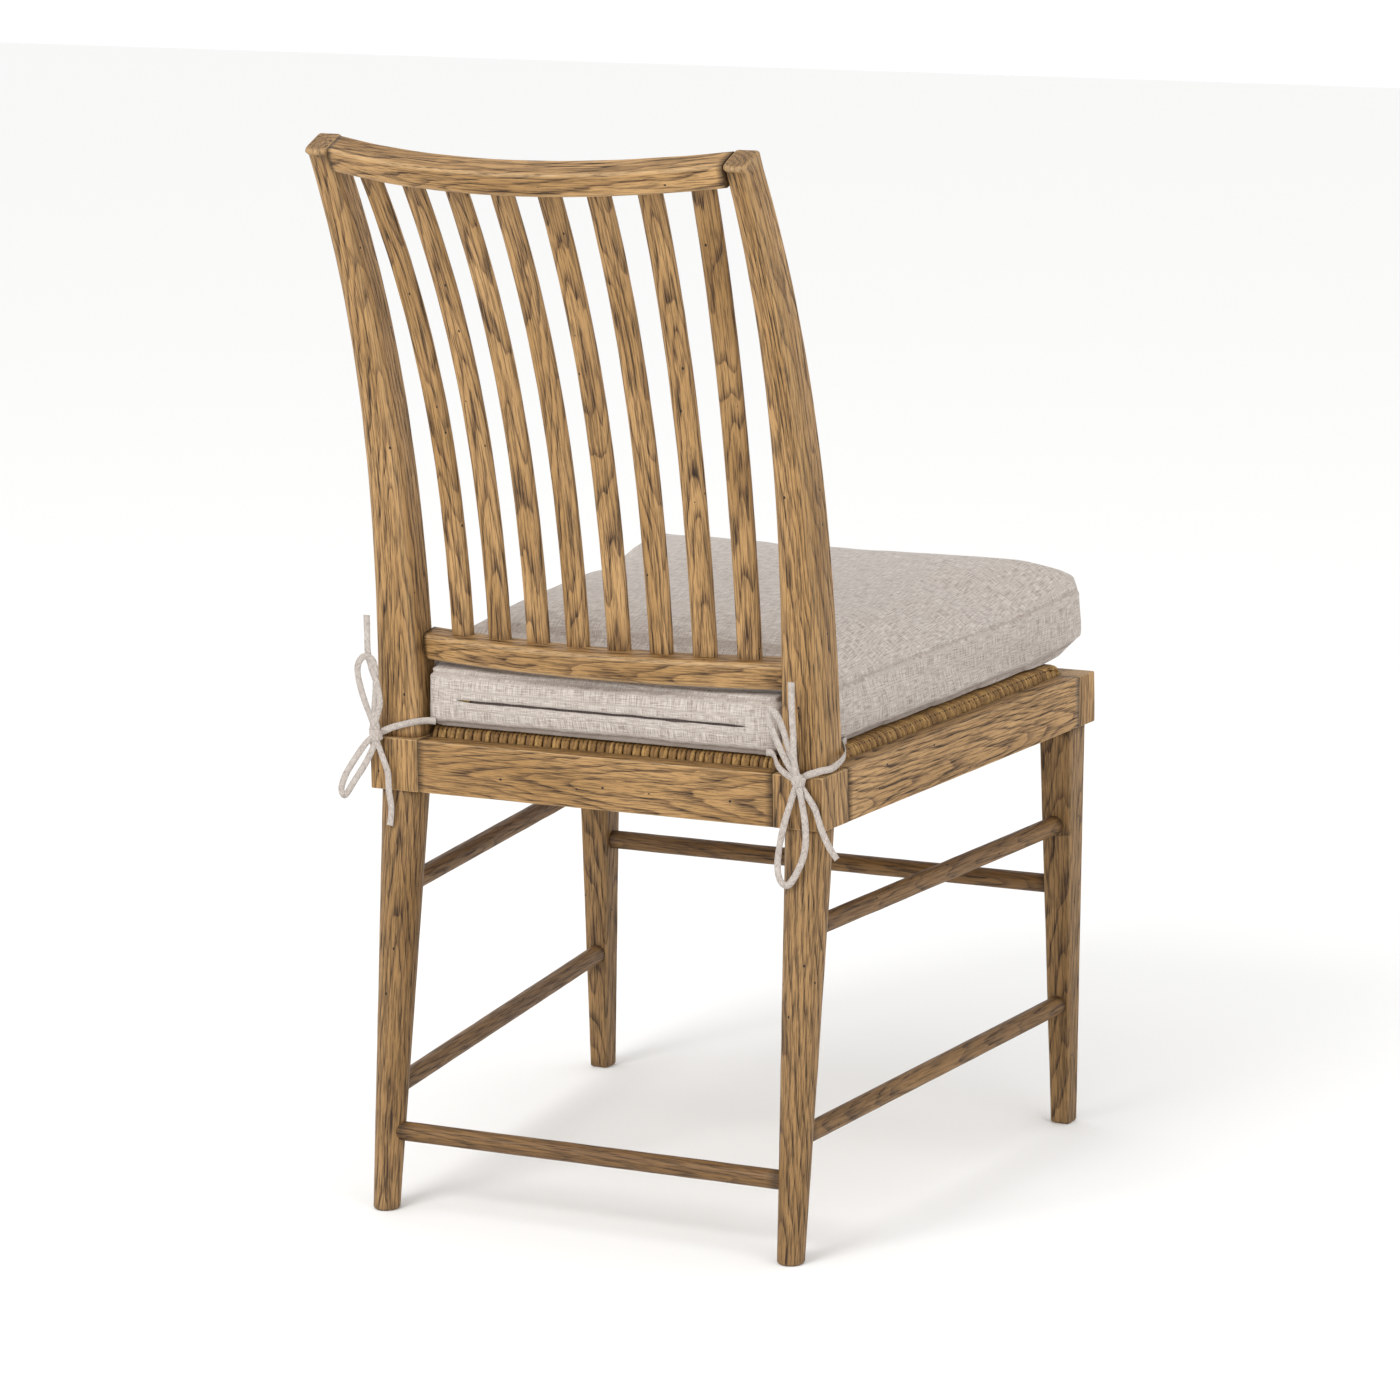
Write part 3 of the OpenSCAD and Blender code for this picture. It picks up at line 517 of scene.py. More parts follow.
def rail(start, end, outward, outline, offset):
    """A straight rail: a profile of (inward, z) points swept along, grain lengthways."""
    start, end, outward = Vector(start), Vector(end), Vector(outward)
    long = (end - start).length
    profile = []
    for i, p in enumerate(outline):
        p, a, b = Vector(p), Vector(outline[i - 1]), Vector(outline[(i + 1) % len(outline)])
        ia, ib = (a - p).normalized(), (b - p).normalized()
        for k in range(4):
            t = k / 3
            q = (p + ia * 1.6) * (1 - t) ** 2 + p * 2 * t * (1 - t) + (p + ib * 1.6) * t * t
            profile.append((q, math.sin(math.pi * t)))
        steps = max(2, int((b - p).length / 9))
        for k in range(1, steps):
            profile.append((p + ib * (1.6 + ((b - p).length - 3.2) * k / steps), 0))
    rings, grain, worn_and_highlight, glaze_and_shade = [], [], [], []
    steps = int(long / 8)
    for k in range(steps + 1):
        s = k / steps
        at = start.lerp(end, s)
        rings.append([(at.x - outward.x * q.x, at.y - outward.y * q.x, q.y) for q, w in profile])
        grain.append([(q.y - 415 + offset[0], q.x + offset[1], s * long + offset[2]) for q, w in profile])
        worn_and_highlight.append([w for q, w in profile])
        # dark at the ends where the rail is glued in (glaze), and painted shade in the rebate under the seat
        glaze_and_shade.append([min(0.9, 0.75 * near(min(s, 1 - s) * long, 2.5)
                          + (0.35 if 20 < q.x < 34 and q.y > seat_top - 20 else 0)) for q, w in profile])
    return shell(rings, grain, worn_and_highlight, glaze_and_shade)


seat_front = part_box("seat_rail_front")[0].y * 1000
head_back = seat_front + 32
rebate = seat_top - 18
outer_profile = [(0, seat_low), (0, seat_top), (22, seat_top), (22, rebate), (33, rebate), (33, seat_low)]
rear_rail = rail((-block_in, seat_back, 0), (block_in, seat_back, 0), (0, 1, 0), outer_profile, (2, 13, 60))
front_rail = rail((235, seat_front, 0), (-235, seat_front, 0), (0, -1, 0), outer_profile, (-6, 16, 900))
left_rail = rail((side_x(block_front), block_front, 0), (side_x(head_back), head_back, 0), (1, 0, 0),
                 outer_profile, (4, 12, 1500))
piece("seat_rail_rear_look", [rear_rail], oak, "seat_rail_rear")
piece("seat_rail_front_look", [front_rail], oak, "seat_rail_front")
piece("seat_rail_left_look", [left_rail], oak, "seat_rail_left")
piece("seat_rail_right_look", [left_rail], oak, "seat_rail_right", flip=True)

# ---- Front legs ----
# Each front leg and the corner of the seat frame above it are one piece of oak. The
# leg is square with soft corners, tapers to the floor and stands back under the seat.
top_c = (side_x(head_back) - 17.8, head_back)
leg_rings, leg_grain, leg_worn_and_highlight, leg_painted_shade = [], [], [], []
for z in [0, 0.8, 2] + list(np.linspace(4, seat_low + 1, 46)):
    f = z / seat_low
    half = 10 + 7 * f - (2 if z == 0 else 0.7 if z < 1 else 0)
    cx, cy = top_c[0] + 1.5 * (1 - f), top_c[1] + 7 * (1 - f)
    section = rounded(half, half, 3, 3)
    leg_rings.append([(cx + x, cy + y, z) for x, y, w in section])
    leg_grain.append([(x - 13, y + 18, z) for x, y, w in section])
    leg_worn_and_highlight.append([max(0.5 * w, 0.25 if z < 3 else 0) for x, y, w in section])
    # painted shade: the front leg is darkened all over, more under the seat corner and towards the floor
    leg_painted_shade.append([0.26 + 0.5 * near(z - seat_low, 7) + 0.2 * near(z, 16)] * len(section))
foot_skin = shell(leg_rings, leg_grain, leg_worn_and_highlight, leg_painted_shade)
step_y = seat_front + 22
plan = [(235, seat_front), (side_x(seat_front), seat_front), (side_x(head_back), head_back)]
notched = plan + [(side_x(head_back) - 22, head_back), (side_x(step_y) - 22, step_y), (235, step_y)]
head_grain = upright_grain(266, seat_front - 2)
heads = [prism(plan + [(235, head_back)], seat_low, rebate, 1.2, head_grain),
         prism(notched, rebate - 2, seat_top, 1.2, head_grain)]
heads = [(*head[:4], [0.7 * (near(y - head_back, 2.2) if x > 236 else near(x - 235, 2.2))
                      for x, y, z in head[0]]) for head in heads]
for side in ("left", "right"):
    piece("front_leg_" + side + "_look", [foot_skin] + heads, oak, "front_leg_" + side, flip=side == "right")

# ---- Stretchers ----
# Six round oak rods, darker with glaze, run from leg to leg; their ends are glued into
# blind holes. Two are at each side, one at the back and one, higher, at the front.
dark_oak = antiqued_oak("antiqued_oak_rods_dark_glaze", "#8a6637", "#6f4f2c", "#4a321b", "#2a190b")


def rear_axis(z):
    f = z / seat_low
    return Vector((209.5 - 2 * f, seat_back - 22.5 + 57 * (1 - f), z))


def front_axis(z):
    f = z / seat_low
    return Vector((top_c[0] + 1.5 * (1 - f), top_c[1] + 7 * (1 - f), z))


def rod(start, end, hide_start, hide_end, offset):
    """A round rod; its ends stay inside the legs and are dark where they enter."""
    line = end - start
    long = line.length
    tangent = line.normalized()
    side = tangent.cross(Vector((0, 0, 1))).normalized()
    over = side.cross(tangent)
    rings, grain, glaze_and_shade = [], [], []
    turn = [2 * math.pi * k / 24 for k in range(24)]
    a, b = hide_start - 8, long - hide_end + 8
    for s in np.linspace(a, b, max(8, int((b - a) / 9))):
        at = start + tangent * s
        rings.append([at + (side * math.cos(t) - over * math.sin(t)) * -9 for t in turn][::-1])
        grain.append([(9 * math.cos(t) + 16, 9 * math.sin(t) + 9, s + offset) for t in turn][::-1])
        glaze_and_shade.append([min(0.9, 0.9 * near(s - hide_start, 7) + 0.9 * near(s - long + hide_end, 7))] * 24)
    return shell([[tuple(p) for p in r] for r in rings], grain, [[0.1] * 24] * len(rings), glaze_and_shade)


def mirrored(v):
    return Vector((-v.x, v.y, v.z))


def rear_radius(z):
    return 12.5 + 9.5 * z / seat_low


low_rod = rod(rear_axis(111), front_axis(119), rear_radius(111), 12.2, 30)
high_rod = rod(rear_axis(297), front_axis(297), rear_radius(297), 15.4, 700)
for side in ("left", "right"):
    for height, made in (("lower", low_rod), ("upper", high_rod)):
        name = "stretcher_%s_%s" % (side, height)
        piece(name + "_look", [made], dark_oak, name, slot="oak_stretchers", flip=side == "right")
for name, axis, z, hidden, offset in (("stretcher_rear", rear_axis, 73, rear_radius(73), 90),
                                      ("stretcher_front", front_axis, 235, 14.2, 420)):
    piece(name + "_look", [rod(axis(z), mirrored(axis(z)), hidden, hidden, offset)],
          dark_oak, name, slot="oak_stretchers")

# ---- Corner blocks, screws and the hidden seat frame ----
# Rough-sawn blocks are screwed across the inner corners of the seat frame. Four more
# screws come up through them into the loose seat. These stay as the model has them.


def sawn_wood(name, light, dark):
    """Plain sawn hardwood, unfinished: pale streaks and fine saw lines, no shine."""
    made, tree, shader = material(name)
    place = add(tree, "TexCoord").outputs["Object"]
    streak = cloudy(tree, stretched(tree, place, 40, 400, 400), detail=4.0, roughness=0.6)
    saw = cloudy(tree, stretched(tree, place, 900, 60, 60))
    dress(tree, shader, ramp(tree, streak, (0.3, dark), (0.7, light)), saw, 0.3, 0.0004, 0.8)
    return made


def speckled(name, dark, light, scale, detail, roughness, metallic=0.0):
    """A plain material with a fine random tone."""
    made, tree, shader = material(name)
    tone = cloudy(tree, add(tree, "TexCoord").outputs["Object"], scale, detail)
    tree.links.new(ramp(tree, tone, (0.3, dark), (0.7, light)), shader.inputs["Base Color"])
    shader.inputs["Roughness"].default_value = roughness
    shader.inputs["Metallic"].default_value = metallic
    return made


def give(material_made, *names):
    for name in names:
        nodes[name].data.materials.clear()
        nodes[name].data.materials.append(material_made)


sawn_oak = sawn_wood("sawn_oak_bare", "#8d6d45", "#5e4529")
give(sawn_oak, "corner_block_rear_left", "corner_block_rear_right",
     "corner_block_front_left", "corner_block_front_right")
give(sawn_wood("sawn_beech_bare", "#b28d62", "#8f6c45"), "drop_seat_rail_rear", "drop_seat_rail_front",
     "drop_seat_rail_left", "drop_seat_rail_right")
zinc = speckled("zinc_plated_steel", "#8f8d86", "#c4c2bb", 700.0, 3.0, 0.42, 1.0)
give(zinc, "corner_block_screws", "seat_screws")

# ---- Rush seat ----
# Twisted rush is wound over the hidden seat frame from all four sides. Its strands
# cross each rail at a right angle, lie side by side and meet on the diagonals; the
# outer edge shows their rounded bends, with dark gaps between them.
rush_low, rush_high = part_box("rush_weave")[0].z * 1000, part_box("rush_weave")[1].z * 1000
edge_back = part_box("rush_weave")[1].y * 1000
edge_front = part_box("rush_weave")[0].y * 1000
strand_verts, strand_faces, strand_twist = [], [], []


def edge_x(y):
    return side_x(y) - 23


def lay_strand(points, strand_across, width, thick, seed):
    """One rush strand: an oval tube along its points, slightly uneven."""
    base, count, sides = len(strand_verts), len(points), 6
    run = 0.0
    for k, p in enumerate(points):
        a, b = points[max(0, k - 1)], points[min(count - 1, k + 1)]
        tangent = (b - a).normalized()
        flat = strand_across - tangent * strand_across.dot(tangent)
        flat.normalize()
        face = tangent.cross(flat)
        if k:
            run += (p - points[k - 1]).length
        swell = 1 + 0.1 * noise.noise(Vector((seed * 3.1, run * 0.06, 0)))
        for j in range(sides):
            t = 2 * math.pi * j / sides
            strand_verts.append(p + flat * math.cos(t) * width * swell + face * math.sin(t) * thick * swell)
            strand_twist.append((run, j / sides * 6 + seed * 17.0, seed))
    strand_faces.extend(ring_faces(sides, count, base, closed=False))


def side_strands(make_point, start, stop, depth_at, across, first_seed):
    """Winds strands side by side along one rail. make_point turns (place along the
    rail, distance in from the edge, height) into a point."""
    pitch = 4.6
    count = int(round(abs(stop - start) / pitch))
    for i in range(count):
        seed = first_seed + i
        s = start + (stop - start) * (i + 0.5) / count
        pair = 0.5 * pitch * 0.32 * (1 if i % 2 else -1)
        deep = depth_at(s)
        wob = noise.noise(Vector((seed * 0.37, 5.1, 0.0)))
        out = 0.35 * wob
        low, high = rush_low + 2.2, rush_high - 2.3
        mid, half = (low + high) / 2, (high - low) / 2
        points = [make_point(s, deep, low)]
        if deep > 60:
            points.append(make_point(s, deep * 0.5, low - 0.3 * wob))
        points.append(make_point(s - pair * 0.2, 16, low))
        for k in range(9):
            t = math.pi * k / 8 - math.pi / 2
            lean = pair * math.cos(t) + 0.25 * noise.noise(Vector((seed, k * 0.6, 2.0)))
            points.append(make_point(s + lean, 9.8 - out - 7.5 * math.cos(t) ** 0.7 if abs(t) < 1.57 else 9.8,
                                     mid + half * math.sin(t)))
        points.append(make_point(s - pair * 0.2, 16, high))
        if deep > 60:
            points.append(make_point(s, deep * 0.5, high + 0.5))
        points.append(make_point(s, deep, high - 0.8))
        lay_strand([Vector(p) for p in points], Vector(across), pitch * 0.56, 2.3, seed)


mid_y = (edge_back + edge_front) / 2
front_half, back_half = edge_x(edge_front), min(block_in - 1, edge_x(edge_back))


def side_deep(y):
    return max(14, min((y - edge_front) * 1.06 + 2, edge_back - y + 2, edge_x(y) - 2))


side_strands(lambda s, d, z: (s, edge_back - d, z), -back_half + 2, back_half - 2,
             lambda s: max(24, min(back_half - abs(s) + 26, edge_back - mid_y)), (1, 0, 0), 0)
side_strands(lambda s, d, z: (s, edge_front + d, z), -front_half + 2, front_half - 2,
             lambda s: max(14, min(front_half - abs(s) + 12, mid_y - edge_front)), (1, 0, 0), 200)
side_strands(lambda s, d, z: (edge_x(s) - d, s, z), block_front - 3, edge_front + 2,
             side_deep, (0, 1, 0), 400)
side_strands(lambda s, d, z: (-edge_x(s) + d, s, z), block_front - 3, edge_front + 2,
             side_deep, (0, 1, 0), 600)
mesh = mesh_of("rush_strands", strand_verts, strand_faces)
note(mesh, "twist", "FLOAT_VECTOR", strand_twist)
rush, tree, shader = material("twisted_rush_dry")
twist = add(tree, "Attribute", attribute_name="twist").outputs["Vector"]
parts = add(tree, "SeparateXYZ", {0: twist}).outputs
fibre = cloudy(tree, stretched(tree, twist, 0.22, 0.9, 3.0), detail=4.0, roughness=0.65)
each = add(tree, "TexWhiteNoise", {"W": parts["Z"]}, noise_dimensions="1D").outputs["Value"]
tone = ramp(tree, each, (0.0, "#7d5a2e"), (0.4, "#a47b42"), (0.8, "#bd9556"), (1.0, "#8a6533"))
streaked = blend(tree, between(tree, fibre, 0.35, 0.65, 0.0, 0.75), tone, "#50381c")
dress(tree, shader, streaked, fibre, 0.6, 0.0008, 0.72)
mesh.materials.append(rush)
seat_piece("rush_strands", mesh, "woven_rush", "rush_weave")

# the packing of dry leaf inside the winding, which closes the gaps between strands; it is coloured near black
# as painted shade in those gaps
skin = [(edge_x(edge_front) - 4, edge_front + 4), (edge_x(block_front - 4) - 4, block_front - 5),
        (block_in - 5, block_front - 5), (block_in - 5, edge_back - 4)]
skin = skin + [(-x, y) for x, y in skin[::-1]]


def slab(name, outline, low, high):
    """A flat-faced slab over an anticlockwise outline."""
    n = len(outline)
    walls = [(j, (j + 1) % n, n + (j + 1) % n, n + j) for j in range(n)]
    return mesh_of(name, [(x, y, z) for z in (low, high) for x, y in outline],
                   [tuple(range(n - 1, -1, -1)), tuple(range(n, 2 * n))] + walls, smooth=False)


stuffing = slab("rush_packing", skin, rush_low + 2.2, rush_high - 2.6)
# painted shade: the packing is coloured near black so the gaps between strands read dark
stuffing.materials.append(speckled("rush_packing_painted_shade", "#2c1d0e", "#4a331a", 300.0, 4.0, 0.9))
seat_piece("rush_packing", stuffing, "woven_rush")

# ---- Cushion ----
# A box cushion of undyed linen over foam, crowned on top, with plain sewn seams round
# its top and bottom. It narrows to a tab between the posts. The rear face holds a zip.
cushion_low, tab_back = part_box("rush_weave")[1].z * 1000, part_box("cushion_cover")[1].y * 1000
cushion_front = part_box("cushion_cover")[0].y * 1000
band_high = cushion_low + 57
crown_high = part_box("cushion_cover")[1].z * 1000 - band_high
shoulder_back, tab_half = block_front - 4, block_in - 1
zip_z, zip_half = cushion_low + 28, 148


def soften(corners, facets=5):
    """A closed outline with each (x, y, radius) corner rounded."""
    out = []
    for i, (x, y, r) in enumerate(corners):
        p, a, b = Vector((x, y)), Vector(corners[i - 1][:2]), Vector(corners[(i + 1) % len(corners)][:2])
        ia, ib = (a - p).normalized(), (b - p).normalized()
        for k in range(facets + 1):
            t = k / facets
            out.append((p + ia * r) * (1 - t) ** 2 + p * 2 * t * (1 - t) + (p + ib * r) * t * t)
    return out


half_plan = [(252, cushion_front, 34), (205, shoulder_back, 13), (tab_half, shoulder_back + 1, 5),
             (tab_half, tab_back, 9)]
plan = soften([(x, y, r) for x, y, r in half_plan] + [(-x, y, r) for x, y, r in half_plan[::-1]])
block = slab("cushion_block", plan, cushion_low + 0.3, band_high)
cushion = bpy.data.objects.new("box_cushion", block)
bpy.context.scene.collection.objects.link(cushion)


def settle(obj):
    """Applies the modifiers an object has, as they stand at this frame."""
    seen = bpy.context.evaluated_depsgraph_get()
    made = bpy.data.meshes.new_from_object(obj.evaluated_get(seen), preserve_all_data_layers=True,
                                           depsgraph=seen)
    obj.modifiers.clear()
    obj.data = made


remesh = cushion.modifiers.new("even", "REMESH")
remesh.mode, remesh.voxel_size = "VOXEL", 0.008
settle(cushion)


def along_sides(x, y):
    """How far a place is inside the main body of the cushion, from its nearest side."""
    lean = (252 - 205) / (shoulder_back - cushion_front)
    return min(252 - lean * (y - cushion_front) - abs(x), y - cushion_front, shoulder_back - y)


first = []
for v in cushion.data.vertices:
    x, y, z = v.co * 1000
    inside = max(0.0, along_sides(x, y))
    crown = crown_high * np.interp(inside, (0, 14, 45, 95, 150), (0, 0.33, 0.72, 0.93, 1))
    level = max(0.0, (z - cushion_low) / (band_high - cushion_low))
    front = max(0.0, min(1.0, (shoulder_back - y) / 480))
    # the band stands taller at the front, where the crown pulls its seam up
    z += level * (0.74 * crown + 6 * front)
    # and the front corners lift off the rush a little
    corner = near(math.hypot(abs(x) - 250, y - cushion_front), 90)
    z += (1 - level) * 7 * corner
    first.append(Vector((x, y, z)) * 0.001)
    v.co = first[-1]
note(cushion.data, "cloth", "FLOAT_VECTOR", [v * 1000 for v in first])

held = cushion.vertex_groups.new(name="held")
for v in cushion.data.vertices:
    x, y, z = v.co * 1000
    if z < cushion_low + 2:
        held.add([v.index], 1.0, "REPLACE")
    elif y > 150 and z > band_high - 9:
        held.add([v.index], 0.6, "REPLACE")
cloth = cushion.modifiers.new("stuffed", "CLOTH").settings
cloth.quality, cloth.mass = 3, 0.25
cloth.tension_stiffness = cloth.compression_stiffness = 12
cloth.shear_stiffness, cloth.bending_stiffness = 6, 0.8
cloth.use_pressure, cloth.uniform_pressure_force = True, 4.0
cloth.effector_weights.gravity = 0
cloth.vertex_group_mass = "held"
scene = bpy.context.scene
for frame_number in range(1, 21):
    scene.frame_set(frame_number)
    bpy.context.view_layer.update()
settle(cushion)
scene.frame_set(1)
cushion.vertex_groups.clear()
for v, before in zip(cushion.data.vertices, first):
    limit = 0.012 if before.z > band_high / 1000 + 0.004 else 0.008
    moved = v.co - before
    v.co = before + moved * min(1.0, limit / max(moved.length, 1e-6))

finer = cushion.modifiers.new("finer", "SUBSURF")
finer.levels = finer.render_levels = 2
settle(cushion)
mesh = cushion.data
place = np.empty(len(mesh.vertices) * 3, np.float32)
mesh.attributes["cloth"].data.foreach_get("vector", place)
place = place.reshape(-1, 3)
mesh.update()
seam = []
normals = [v.normal.copy() for v in mesh.vertices]
for v, normal, (fx, fy, fz) in zip(mesh.vertices, normals, place):
    x, y, z = v.co * 1000
    inside = max(0.0, along_sides(fx, fy))
    side = min(tab_half - abs(fx), tab_back - fy) if fy > shoulder_back else inside
    front = max(0.0, min(1.0, (shoulder_back - fy) / 480))
    corner = near(math.hypot(abs(fx) - 250, fy - cushion_front), 90)
    high = band_high + 6 * front - 4.5
    edge = max(0.0, side) < 6
    # the two seams: the cloth is drawn in where it is sewn, and swells on either side
    top_gap = abs(fz - high) if edge else 99
    low_gap = abs(fz - (cushion_low + 7 * corner) - 3.5) if edge else 99
    gap = min(top_gap, low_gap)
    pull = 1.9 * math.exp(-(gap / 2.2) ** 2) - 0.5 * math.exp(-((gap - 5.5) / 2.4) ** 2)
    # the placket of the zip is sewn down with an upright line near each end
    if fy > tab_back - 5 and abs(fz - zip_z) < 22:
        pull += 1.1 * math.exp(-((fx - 166) / 1.9) ** 2) + 1.1 * math.exp(-((fx + 158) / 1.9) ** 2)
    # puckers beside the seams, and slow hollows over the whole
    pucker = noise.noise(Vector((fx * 0.06, fy * 0.06, fz * 0.02 + 5)))
    fold = noise.noise(Vector((fx * 0.021, fy * 0.017, fz * 0.03)))
    pull += 0.9 * pucker * math.exp(-(gap / 13) ** 2) + 1.1 * fold * (1 if z > cushion_low + 4 else 0)
    # how near a place is to a seam, for the painted shade along it
    seam.append(math.exp(-(gap / 1.4) ** 2))
    x, y, z = Vector((x, y, z)) - normal * pull
    # it rests flat on the rush, stays under the back rail and between the posts
    z = max(z, cushion_low + 0.3)
    if y > 120:
        roof = 508.6 + max(0.0, 158 - y) * 0.55
        z = roof - 2.2 + 2.2 * math.tanh((z - roof + 2.2) / 2.2) if z > roof - 2.2 else z
    if y > shoulder_back - 14:
        if fy < shoulder_back + 2 and abs(fx) > tab_half - 1:
            y = min(y, shoulder_back + 1.5)
        elif abs(x) > tab_half - 1.5:
            x = math.copysign(tab_half - 1.5 + 2.2 * math.tanh((abs(x) - tab_half + 1.5) / 2.2), x)
    if fy > tab_back - 6:
        y = min(y, tab_back + 2.5)
        # the slit of the zip runs back to the tape
        if abs(fz - zip_z) < 9:
            slit = min(1.0, max(0.0, (zip_half - abs(fx)) / 3))
            slit *= min(1.0, max(0.0, (8 - abs(fz - zip_z)) / 3))
            y = y * (1 - slit) + (tab_back - 6) * slit
    v.co = Vector((x, y, z)) * 0.001
note(mesh, "seam", "FLOAT", seam)
for face in mesh.polygons:
    face.use_smooth = True

linen, tree, shader = material("undyed_linen_plain_weave")
cloth_at = add(tree, "Attribute", attribute_name="cloth").outputs["Vector"]
parts = add(tree, "SeparateXYZ", {0: cloth_at}).outputs
facing = add(tree, "SeparateXYZ", {0: add(tree, "NewGeometry").outputs["Normal"]}).outputs
flat_on = between(tree, worked(tree, "ABSOLUTE", facing["Z"]), 0.45, 0.65)
round_it = worked(tree, "SUBTRACT", parts["X"], parts["Y"])
upright = add(tree, "CombineXYZ", {"X": round_it, "Y": parts["Z"]}).outputs[0]
weave_at = add(tree, "Mix", {"Factor": flat_on, "A": upright, "B": cloth_at},
               data_type="VECTOR").outputs["Result"]
warp = cloudy(tree, stretched(tree, weave_at, 1.15, 0.07, 0.0), roughness=0.6)
weft = cloudy(tree, stretched(tree, weave_at, 0.07, 1.15, 0.0), roughness=0.6)
woven = worked(tree, "ADD", warp, weft)
tone = ramp(tree, between(tree, woven, 0.78, 1.22), (0.0, "#8d827a"), (0.45, "#aea49c"), (1.0, "#c9c1b9"))
seam_at = add(tree, "Attribute", attribute_name="seam").outputs["Fac"]
# painted shade: the cloth is darkened along the two seams, where it is drawn in
shade = blend(tree, worked(tree, "MULTIPLY", seam_at, 0.4), tone, "#8d7f76")
dress(tree, shader, shade, woven, 0.5, 0.0006, 0.9)
shader.inputs["Specular IOR Level"].default_value = 0.2
shader.inputs["Sheen Weight"].default_value = 0.15
mesh.materials.clear()
mesh.materials.append(linen)
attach(cushion, "chair")
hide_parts("cushion_cover", "cushion_core")

# Two lips of the same linen meet over the zip and hide most of it. They are slack, so
# their free edges wave; the brass slider runs behind them on the tape.
skin = BVHTree.FromPolygons([v.co for v in mesh.vertices], [tuple(f.vertices) for f in mesh.polygons])


def face_y(x, z):
    """The rear face of the cushion at a place, in mm."""
    hit = skin.ray_cast(Vector((x, 400, z)) / 1000, Vector((0, -1, 0)))[0]
    return hit.y * 1000 if hit else tab_back


lip_verts, lip_faces = [], []
for up in (1, -1):
    base = len(lip_verts)
    places = np.linspace(zip_half + 1, -zip_half - 1, 100)
    for x in places:
        closed = 1 - near(zip_half - abs(x), 14)
        wave = noise.noise(Vector((x * 0.045, 3.0 * up, 0)))
        ripple = noise.noise(Vector((x * 0.13, 9.0 * up, 4)))
        free = zip_z + up * (0.25 + closed * (0.7 + 0.9 * max(0, wave + 0.2)))
        rooted = zip_z + up * 9.5
        root_y = face_y(x, rooted) - 0.2
        lift = closed * (0.9 + 0.8 * wave + 0.4 * ripple)
        # out over the front of the lip to its free edge, and back behind it
        for f, behind in ((0, 0), (0.35, 0), (0.7, 0), (1, 0), (1, 0.6), (0.7, 0.6), (0.35, 0.6), (0, 0.6)):
            y = root_y * (1 - f) + (tab_back + 1.0) * f - behind
            y += lift * math.sin(math.pi * min(1.0, f * 0.75))
            clear = tab_back + 0.75 - behind if f > 0.2 else 0
            lip_verts.append((x, max(clear, y), rooted + (free - rooted) * f))
    lip_faces += ring_faces(8, len(places), base, inward=up == -1)
lips = mesh_of("zip_lips", lip_verts, lip_faces)
note(lips, "cloth", "FLOAT_VECTOR", lip_verts)
lips.materials.append(linen)
seat_piece("zip_lips", lips, "linen")

tape, tree, shader = material("zip_tape_woven_polyester")
ribs = add(tree, "TexWave", {"Vector": add(tree, "TexCoord").outputs["Object"], "Scale": 210.0,
                             "Distortion": 0.0}, wave_type="BANDS", bands_direction="X").outputs["Fac"]
tree.links.new(ramp(tree, ribs, (0.2, "#5f524d"), (0.8, "#8f7f7a")), shader.inputs["Base Color"])
shader.inputs["Roughness"].default_value = 0.8
give(tape, "zip_tape")
give(speckled("aged_brass_slider", "#6d5a36", "#a58d58", 900.0, 3.0, 0.38, 1.0), "zip_slider")

# ---- Ribbon ties ----
# Four folded linen tapes, 6.4 mm wide, are sewn to the cushion in pairs. Each pair goes
# round the inside and the outside of a rear post and is tied in a bow behind it.
routes = {
    "tie_left_inner": (1, [
        (170, 198.4, 456), (178, 199.6, 456), (187, 204.6, 455.4), (198, 210, 453), (208, 212.5, 450),
        (215, 215.4, 447), (222, 218, 443), (232, 220, 435), (244, 223, 418), (253, 225, 403),
        (257, 226, 390), (253, 226, 385), (244, 225, 398), (233, 222.5, 415), (225, 220, 431),
        (222, 219.4, 443), (221, 220, 457), (215, 222, 474), (217, 223, 492), (222, 224, 507),
        (225, 224, 522), (225, 224, 540), (225, 224, 556)]),
    "tie_left_outer": (1, [
        (211, 122, 454), (216.5, 140, 454), (229, 158, 452), (236, 173, 450), (237, 190, 449),
        (236, 204, 449), (231, 213, 447), (222, 216.8, 443), (226, 219, 456), (233, 223, 482),
        (236, 225, 505), (229, 226, 517), (220, 225, 515), (218, 223, 503), (220, 221, 485),
        (223, 219.8, 460), (222, 220.6, 443), (216, 220, 425), (210, 220.5, 409), (209, 221, 392),
        (207, 221, 376), (209, 221, 359)]),
    "tie_right_inner": (-1, [
        (-169, 198.8, 455.5), (-176.5, 200.4, 455), (-186.5, 210.2, 446.5), (-198, 215.6, 441),
        (-211, 218, 437), (-201, 221, 453), (-192, 223, 473), (-185, 224.5, 492),
        (-186, 225, 500), (-192, 224.5, 498), (-197, 223, 487), (-203, 221, 465),
        (-211, 219.4, 437), (-226, 220, 415), (-233, 221, 397), (-241, 222, 381), (-249, 222, 370)]),
    "tie_right_outer": (-1, [
        (-211, 122, 454.5), (-216.5, 140, 455), (-228, 160, 455), (-236, 176, 454), (-239, 193, 451),
        (-237, 207, 448), (-228, 214.5, 446), (-211, 216.8, 437), (-201, 221, 410),
        (-194, 223, 383), (-191, 224, 360), (-194, 225, 346), (-202, 225, 343),
        (-212, 224.5, 358), (-218, 223.5, 376), (-218, 222, 400), (-211, 220.6, 437),
        (-208, 222, 458), (-208, 222.5, 480), (-207, 222.5, 503), (-207, 222.5, 527)])}


